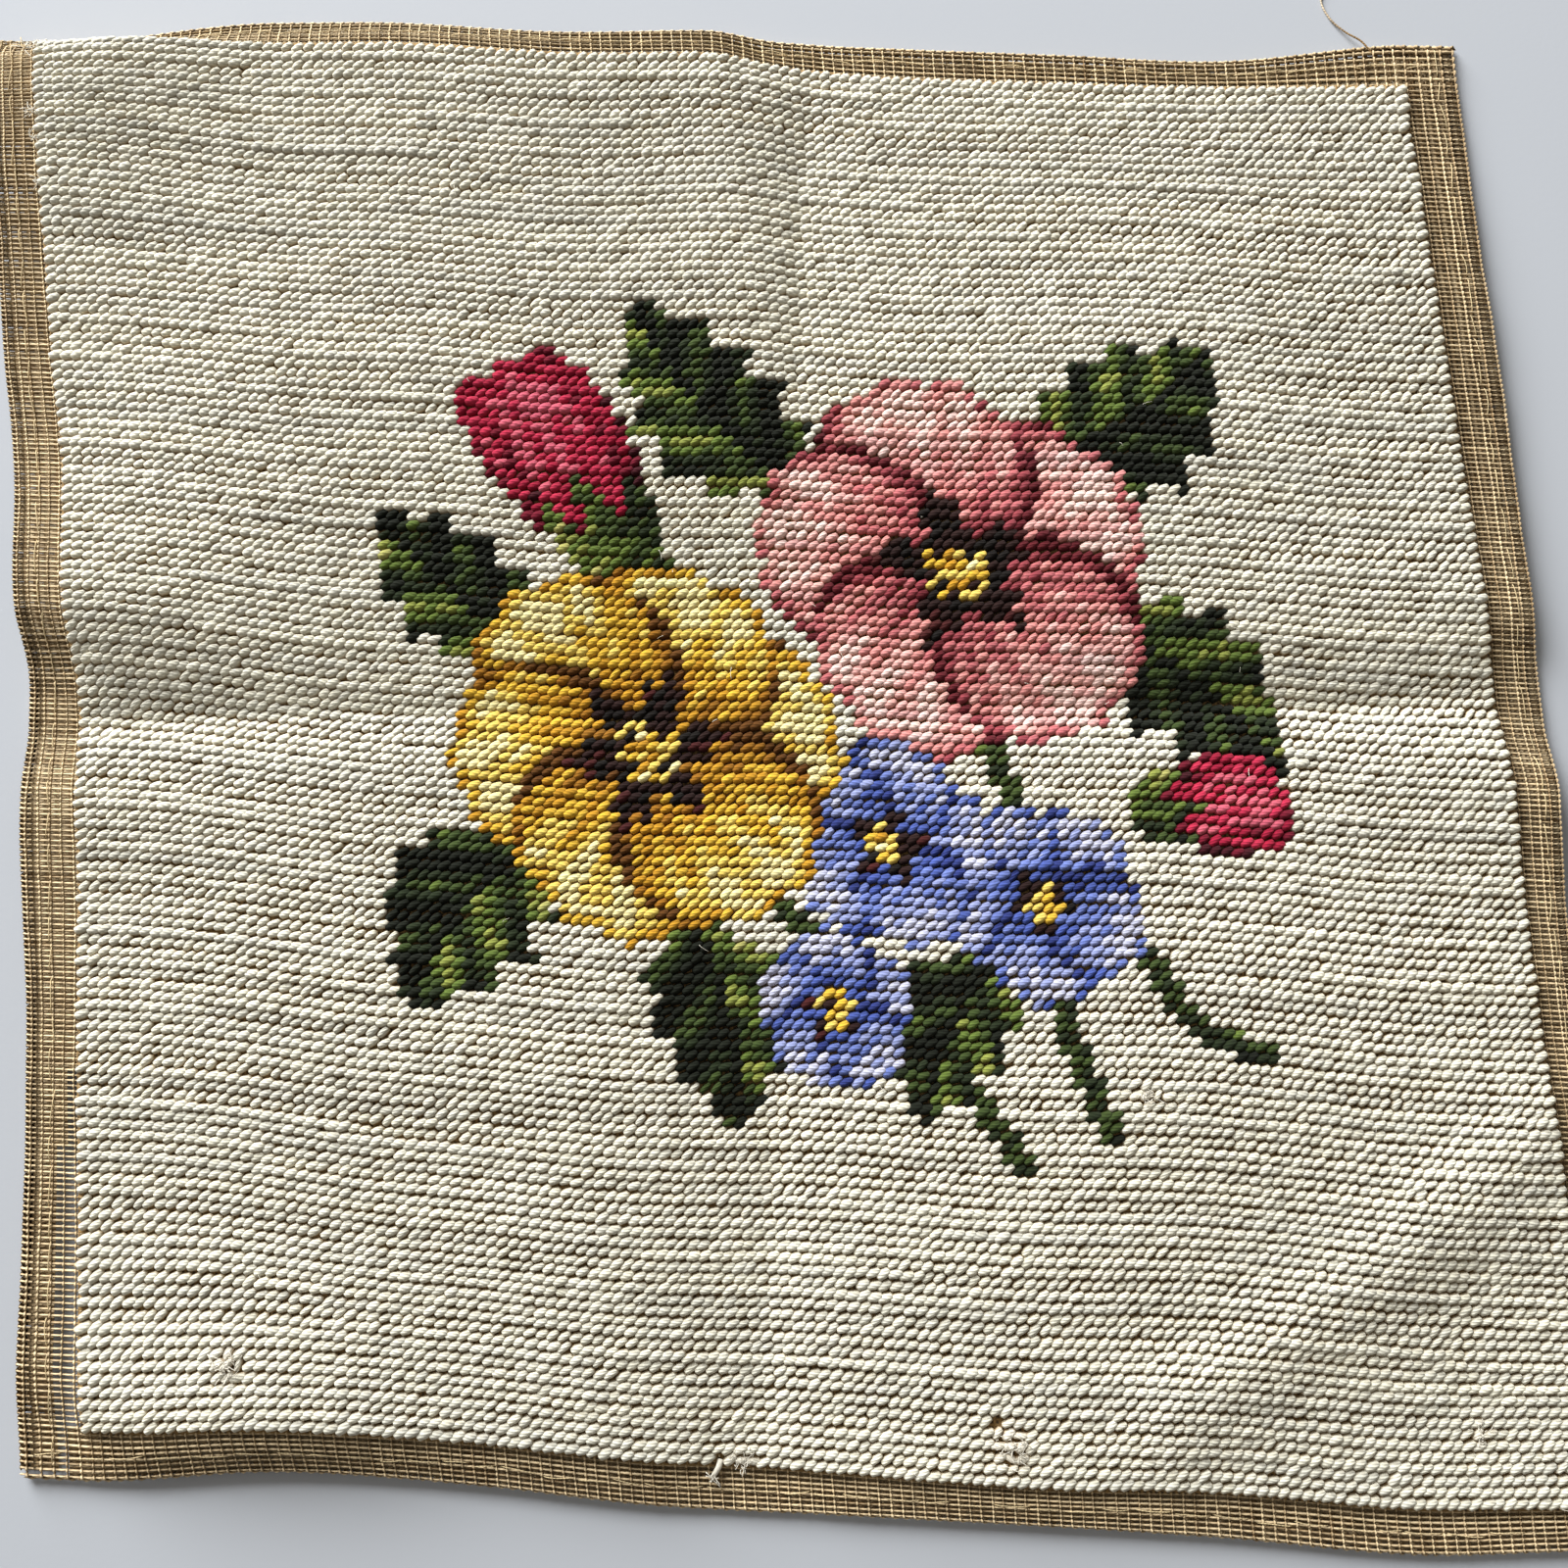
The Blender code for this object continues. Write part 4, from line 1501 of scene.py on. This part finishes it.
@dataclass
class CanvasWeave:
    """The open canvas round the wool, thread by thread, with its edge turned under."""

    up_width: float = 0.36
    up_height: float = 0.19
    across_width: float = 0.3
    across_height: float = 0.2
    knot_rise: float = 0.25  # how far the upright threads ride over the level ones
    hem_spread: float = 2.6  # the pressed hem's threads lie this much wider
    narrow_hem: float = 2.4  # columns the left hem falls short of the wool by at the bottom
    columns_past: tuple = (11, 11)  # threads beyond the field at the left and the right
    rows_past: tuple = (17, 14)  # and at the bottom and the top
    wanders: tuple = (0.1, 0.055)  # how far upright and level threads stray, in millimetres
    ground_cuts: int = 60
    ground_past: float = 0.6  # how far the covered canvas reaches past the field
    ground_thick: float = 0.4
    # Painted highlight and shade: threads run from the dark colour where they dip to the highlight on
    # their crests
    highlight: str = "#EBD7B1"
    colour: str = "#765A34"
    paler: tuple = (0.06, 0.2)  # how much paler the upright and the level threads are
    painted_hem_shade: float = 0.6  # painted shade: how light the hem's inner face is painted, for the shade between its two layers
    painted_hem_shade_left: float = 0.95  # the same painted shade on the left, lighter where light falls into the mesh

    @property
    def pitches(self) -> tuple[float, float]:
        """Millimetres between threads: two across the way for each row of stitches."""
        return SHAPE.stitch_width, SHAPE.stitch_height / 2

    def model_thread(self, run: Run, cuts: int, spread: float) -> UnitMesh:
        """Models one crossing's length of thread, its ridge upwards.

        Args:
            run: Which way it runs.
            cuts: Rings between its ends.
            spread: How much wider than usual it lies.

        Returns:
            The length of thread, its middle over the crossing.
        """
        pitch = self.pitches[1 - run.value]
        deselect()
        bpy.ops.mesh.primitive_cylinder_add(vertices=3, radius=1, depth=pitch, end_fill_type="NOTHING")
        thread = bpy.context.object
        bpy.ops.object.mode_set(mode="EDIT")
        mesh = bmesh.from_edit_mesh(thread.data)
        for edge in mesh.edges:
            edge.select = abs(edge.verts[0].co.z - edge.verts[1].co.z) > pitch / 2
        bmesh.update_edit_mesh(thread.data)
        if cuts:
            bpy.ops.mesh.subdivide(number_cuts=cuts)
        bpy.ops.mesh.select_all(action="SELECT")
        bpy.ops.transform.rotate(value=-math.pi / 2, orient_axis="X", center_override=(0, 0, 0))
        if run is Run.ACROSS:
            bpy.ops.transform.rotate(value=math.pi / 2, orient_axis="Z", center_override=(0, 0, 0))
        width, height = (
            (self.up_width, self.up_height)
            if run is Run.UP
            else (self.across_width, self.across_height)
        )
        width *= spread
        scale = (width, 1, height) if run is Run.UP else (1, width, height)
        bpy.ops.transform.resize(value=scale, center_override=(0, 0, 0))
        way = 1 - run.value
        if cuts:
            pick(thread, lambda place: abs(place[way]) < pitch * 0.2)
            rise = self.knot_rise if run is Run.UP else -0.12
            bpy.ops.transform.translate(value=(0, 0, rise))
        pick(thread, lambda place: abs(place[way]) > pitch * 0.45)
        if run is Run.UP:
            bpy.ops.transform.resize(value=(0.55, 1, 1), center_override=(0, 0, 0))
        bpy.ops.transform.translate(value=(0, 0, -0.26 if run is Run.UP else 0.1))
        bpy.ops.mesh.select_all(action="SELECT")
        bpy.ops.mesh.normals_make_consistent(inside=False)
        bpy.ops.object.mode_set(mode="OBJECT")
        return UnitMesh.taken_from(thread)

    def cells(self) -> tuple[Array, Array, Array, Array]:
        """Picks the crossings that show round the wool.

        Returns:
            Their columns and rows, the number of the side each is on, and the number of
            its layer.
        """
        across, up = SHAPE.stitches_across, 2 * SHAPE.stitches_up
        column, row = np.meshgrid(
            np.arange(-self.columns_past[0], across + self.columns_past[1]),
            np.arange(-self.rows_past[0], up + self.rows_past[1]),
        )
        column, row = column.reshape(-1), row.reshape(-1)
        x = (column + 0.5) * self.pitches[0]
        y = (row + 0.5) * self.pitches[1]
        reach = SHAPE.fold_reach
        left, right, bottom, top = SHAPE.margins
        past_x = np.maximum(-x - (left - reach), x - SHAPE.field[0] - (right - reach))
        past_y = np.maximum(-y - (bottom - reach), y - SHAPE.field[1] - (top - reach))
        turned = math.pi * SHAPE.fold_radius
        raw = np.maximum(-x - left / 3, x - SHAPE.field[0] - right / 3)
        inner = (column >= 1) & (column < across - 1) & (row >= 2) & (row < up - 2)
        doubled = (past_x > 0) & (past_y > 0) & (np.maximum(past_x, past_y) > turned * 0.6)
        under_side_hem = (past_y > turned) & (raw > 0)
        narrow = self.narrow_hem * (1 - eased((row / up - 0.12) / 0.18))
        short = column < narrow - self.columns_past[0]
        kept = ~inner & ~doubled & ~under_side_hem & ~short
        side = np.select(
            (column < 1, column >= across - 1, row < up / 2),
            (Side.LEFT.value, Side.RIGHT.value, Side.BOTTOM.value),
            Side.TOP.value,
        )
        hem = (past_x > turned + self.pitches[0] / 2) | (past_y > turned + self.pitches[1] / 2)
        fold = ((past_x > -self.pitches[0] / 2) | (past_y > -self.pitches[1] / 2)) & ~hem
        under = fold & (np.maximum(past_x, past_y) > turned / 2)
        layer = np.select(
            (hem, under, fold),
            (Layer.HEM.value, Layer.UNDER.value, Layer.FOLD.value),
            Layer.OPEN.value,
        )
        return column[kept], row[kept], side[kept], layer[kept]

    def wander(self, thread: Array, way: Array, size: float, seed: int) -> Array:
        """How far each thread strays from its straight line.

        Args:
            thread: Each place's thread number.
            way: Each place's distance along it.
            size: The usual strength, in millimetres.
            seed: Which set of waves.

        Returns:
            Offsets in millimetres.
        """
        chance = np.random.default_rng(SEED + seed)
        phase = chance.random((400, 3)) * 2 * math.pi
        one, two, three = (phase[thread + 60, i] for i in range(3))
        waves = np.sin(way / 11 + one) + 0.6 * np.sin(way / 3.7 + two) + 0.3 * np.sin(way / 1.6 + three)
        return size * waves

    def laid(self, unit: UnitMesh, run: Run, column: Array, row: Array) -> tuple[Array, Array]:
        """Lays lengths of thread at crossings, round the folds and under.

        Args:
            unit: The length of thread.
            run: Which way it runs.
            column: The crossings' columns.
            row: The crossings' rows.

        Returns:
            Places in metres, and linear colours.
        """
        flat = np.repeat(unit.verts[None, :, :], len(column), axis=0)
        number = column if run is Run.UP else row
        count = unit.verts.shape[0]
        number = np.repeat(number[:, None], count, axis=1)
        chance = np.random.default_rng(SEED + 20 + run.value)
        thick = (1 + 0.12 * chance.normal(size=400))[number + 60]
        side_axis = run.value
        way_axis = 1 - run.value
        flat[..., side_axis] *= thick
        flat[..., 0] += ((column + 0.5) * self.pitches[0])[:, None]
        flat[..., 1] += ((row + 0.5) * self.pitches[1])[:, None]
        size = self.wanders[run.value]
        flat[..., side_axis] += self.wander(number, flat[..., way_axis], size, 30 + run.value)
        tone = (chance.normal(size=400))[number + 60]
        tone = tone + 0.8 * self.wander(number, flat[..., way_axis] * 0.7, 1.0, 40 + run.value)
        # Painted highlight and shade: each vertex is lighter the higher it stands on its thread, for
        # how light falls on crests and dips
        painted_crest_light = np.clip((unit.verts[:, 2] + 0.1) / 0.45, 0, 1)[None, :]
        mix = np.clip(0.1 + self.paler[run.value] + 0.7 * painted_crest_light + 0.14 * tone, 0, 1)[..., None]
        low, high = np.array(linear(self.colour)), np.array(linear(self.highlight))
        placed = SHAPE.hemmed(flat)
        # Painted shade: the turned-under layer's inner face, which shows through the holes, is darkened
        # for the shade between the hem's two layers
        inside = eased((SHAPE.canvas_level - 0.75 - placed[..., 2]) / 0.5)
        inside = inside * (flat[..., 2] < unit.verts[:, 2].mean() + 0.02)
        painted_hem_light = np.where(column < 1, self.painted_hem_shade_left, self.painted_hem_shade)[:, None]
        shade = (1 - (1 - painted_hem_light) * inside)[..., None]
        colours = low * (1 - mix) + high * mix
        colours[..., :3] *= shade
        return SHAPE.lay(placed), colours

    def build(self, finish: bpy.types.Material) -> list[bpy.types.Object]:
        """Weaves the margins.

        Args:
            finish: The canvas threads' material.

        Returns:
            The left, right, bottom and top margins.
        """
        column, row, side, layer = self.cells()
        pieces = []
        for margin in Side:
            parts = JoinedMesh()
            for kind in Layer:
                chosen = (side == margin.value) & (layer == kind.value)
                for run in Run:
                    spread = self.hem_spread if kind in (Layer.UNDER, Layer.HEM) else 1.0
                    unit = self.model_thread(run, kind.cuts[run.value], spread)
                    verts, colours = self.laid(unit, run, column[chosen], row[chosen])
                    parts.add_many(unit, verts, colours)
            piece = parts.build(margin.piece, finish, weld=True)
            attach(piece, BODY)
            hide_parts("canvas")
            pieces.append(piece)
        return pieces

    def build_ground(self, finish: bpy.types.Material) -> bpy.types.Object:
        """Lays the sheet of canvas that the wool is worked on.

        Args:
            finish: The covered canvas's material.

        Returns:
            The piece.
        """
        deselect()
        cuts = self.ground_cuts
        bpy.ops.mesh.primitive_grid_add(x_subdivisions=cuts, y_subdivisions=cuts, size=1)
        ground = bpy.context.object
        ground.name = ground.data.name = "canvas_ground"
        wide, high = SHAPE.field
        edge = self.ground_past
        flat = np.array([vertex.co[:] for vertex in ground.data.vertices])
        flat = np.stack(
            (
                (flat[:, 0] + 0.5) * (wide + 2 * edge) - edge,
                (flat[:, 1] + 0.5) * (high + 2 * edge) - edge,
                np.full(len(flat), SHAPE.canvas_level),
            ),
            axis=-1,
        )
        ground.data.vertices.foreach_set("co", SHAPE.lay(flat).reshape(-1))
        ground.data.update()
        solidify = ground.modifiers.new("thickness", "SOLIDIFY")
        solidify.thickness, solidify.offset = self.ground_thick * MM, 0
        bpy.ops.object.modifier_apply(modifier=solidify.name)
        bpy.ops.object.shade_smooth()
        ground.data.materials.append(finish)
        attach(ground, BODY)
        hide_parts("canvas")
        return ground


@dataclass
class HemSewing:
    """The light thread that holds the hem, in long wandering stitches."""

    colour: str = "#CDBB94"
    thick: float = 0.24
    share_of_margin: tuple = (0.5, 0.62, 0.52, 0.5)  # out from the wool, side by side
    from_corner: float = 3.0
    stitch_runs: tuple = (5, 10)  # shortest and longest
    between: tuple = (0.3, 1.4)  # least and most canvas between two stitches
    stray: float = 0.35

    def build(self, finish: bpy.types.Material) -> bpy.types.Object:
        """Sews the hem.

        Args:
            finish: The thread's material.

        Returns:
            The piece.
        """
        chance = np.random.default_rng(SEED + 50)
        parts = JoinedMesh()
        for side, share in enumerate(self.share_of_margin):
            axis = 0 if side < 2 else 1
            ends = SHAPE.margins[2 - 2 * axis : 4 - 2 * axis]
            place = self.from_corner - ends[0]
            stop = place + SHAPE.field[1 - axis] + sum(ends) - 2 * self.from_corner
            out = share * SHAPE.margins[side]
            while place < stop:
                run = chance.uniform(*self.stitch_runs)
                start_out, end_out = out + chance.normal(size=2) * self.stray
                t = np.linspace(0, 1, 9)
                arch = np.sin(t * math.pi) ** 0.4
                lane = start_out + (end_out - start_out) * t + 0.12 * np.sin(t * 5 + place)
                flat = np.empty((9, 3))
                flat[:, 1 - axis] = place + run * t
                flat[:, axis] = SHAPE.field[axis] + lane if side % 2 else -lane
                flat[:, 2] = SHAPE.canvas_level - 0.3 + 0.92 * arch
                shape = tube(SHAPE.lay(flat), np.full(9, self.thick / 2 * MM), 5)
                parts.add(*shape, np.array(linear(self.colour)) * chance.uniform(0.85, 1.1))
                place += run + chance.uniform(*self.between)
        piece = parts.build("hem_sewing", finish)
        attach(piece, BODY)
        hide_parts("canvas")
        return piece


@dataclass
class Fluff:
    """Loose wool: matted fibres on worn spots, stray hairs and fuzz at the left edge."""

    colour: str = "#FFFBEE"
    edge_tufts: tuple = (  # across, up, radius, fibres
        (0.0, 1.0, 4.5, 60),
        (-0.001, 0.93, 1.8, 18),
        (-0.002, 0.905, 1.5, 14),
        (-0.001, 0.87, 1.7, 16),
        (0.4135, -0.0085, 0.8, 14),
    )
    tuft_level: float = 3.4
    tuft_lengths: tuple = (0.8, 2.2)
    tuft_thick: tuple = (0.15, 0.3)
    spot_level: float = 4.0
    hairs: int = 90
    hair_level: float = 4.2
    hair_lengths: tuple = (1.2, 3.0)
    hair_thick: float = 0.13
    yarn_radii: tuple = (0.75, 0.55)  # where it comes out and at its end
    yarn_end: tuple = (  # across, up and height of the points the pulled-out yarn runs through
        (0.4195, 0.0035, 2.6),
        (0.4180, -0.0005, 3.3),
        (0.4155, -0.0045, 3.1),
        (0.4130, -0.0085, 2.6),
    )

    def fibre(self, chance: np.random.Generator, start: Array, reach: float, thick: float) -> tuple:
        """Bends one fibre over the cloth.

        Args:
            chance: Where its random numbers come from.
            start: Its flat place.
            reach: How long it is.
            thick: How thick it is.

        Returns:
            A tube's places, loops, face sizes and UVs.
        """
        heading = chance.normal(size=3) * (1, 1, 0.4)
        bend = chance.normal(size=3) * (1, 1, 0.3)
        heading[2] = abs(heading[2])
        t = np.linspace(0, 1, 6)[:, None]
        flat = start + reach * 0.6 * (heading * t + bend * t * t * 0.6)
        flat[:, 2] = np.clip(flat[:, 2], start[2] - 0.3, start[2] + 1.6)
        return tube(SHAPE.lay(flat), np.full(6, thick / 2 * MM), 3)

    def build(self, finish: bpy.types.Material) -> bpy.types.Object:
        """Scatters the fibres.

        Args:
            finish: The wool's material.

        Returns:
            The piece.
        """
        chance = np.random.default_rng(SEED + 60)
        parts = JoinedMesh()
        cream = np.array(linear(self.colour))
        wide, high = SHAPE.field
        spots = [
            (across * wide, up * high, radius, fibres, self.tuft_level)
            for across, up, radius, fibres in self.edge_tufts
        ]
        for spot in WORN:
            column, row = spot.middle
            place = (column + 0.5) * SHAPE.stitch_width, (row + 0.5) * SHAPE.stitch_height
            spots.append((*place, spot.reach, spot.fibres, self.spot_level))
        share = np.linspace(0, 1, 8)
        columns = [along(np.array(column), share) for column in zip(*self.yarn_end)]
        flat = np.stack(columns, axis=-1) * (wide, high, 1.0)
        lie = SHAPE.facing(flat[0])
        radii = np.linspace(*self.yarn_radii, 8) * MM
        parts.add(*tube(SHAPE.lay(flat), radii, 8), cream * 0.8, lie)
        for x, y, radius, fibres, level in spots:
            lie = SHAPE.facing(np.array([x, y, level]))
            for _ in range(fibres):
                start = np.array([x, y, level])
                start[:2] += chance.normal(size=2) * radius * 0.42
                thick = chance.uniform(*self.tuft_thick)
                shape = self.fibre(chance, start, chance.uniform(*self.tuft_lengths), thick)
                parts.add(*shape, cream * chance.uniform(0.93, 1.0), lie)
        for _ in range(self.hairs):
            start = np.array([chance.uniform(0, wide), chance.uniform(0, high), self.hair_level])
            reach = chance.uniform(*self.hair_lengths)
            parts.add(*self.fibre(chance, start, reach, self.hair_thick), cream)
        piece = parts.build("wool_fluff", finish)
        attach(piece, BODY)
        return piece


def report(pieces: list[bpy.types.Object]) -> None:
    """Logs each piece with its triangles."""
    total = 0
    for piece in pieces:
        triangles = sum(len(face.vertices) - 2 for face in piece.data.polygons)
        total += triangles
        log.info("%s: %d triangles", piece.name, triangles)
    log.info("in all: %d triangles", total)


def main() -> None:
    """Builds the view, the thread, the canvas, the wool and the sewing, in order."""
    logging.basicConfig(level=logging.INFO, format="%(name)s %(message)s")
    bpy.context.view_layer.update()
    view = StudioView()
    view.build_camera()
    cotton, wool = SpunCotton().make(), TapestryWool().make()
    thread = StrayThread().build(cotton)
    weave = CanvasWeave()
    ground = weave.build_ground(GroundCanvas().make())
    margins = weave.build(cotton)
    needlework = Needlework()
    for motif in SPRAY:
        motif.paint(needlework.chart)
    face = needlework.build_face(wool)
    back = needlework.build_back(wool)
    sewing = HemSewing().build(cotton)
    fluff = Fluff().build(wool)
    view.build_floor()
    view.build_light()
    report([thread, ground, *margins, *face, back, sewing, fluff])


if __name__ == "__main__":
    main()
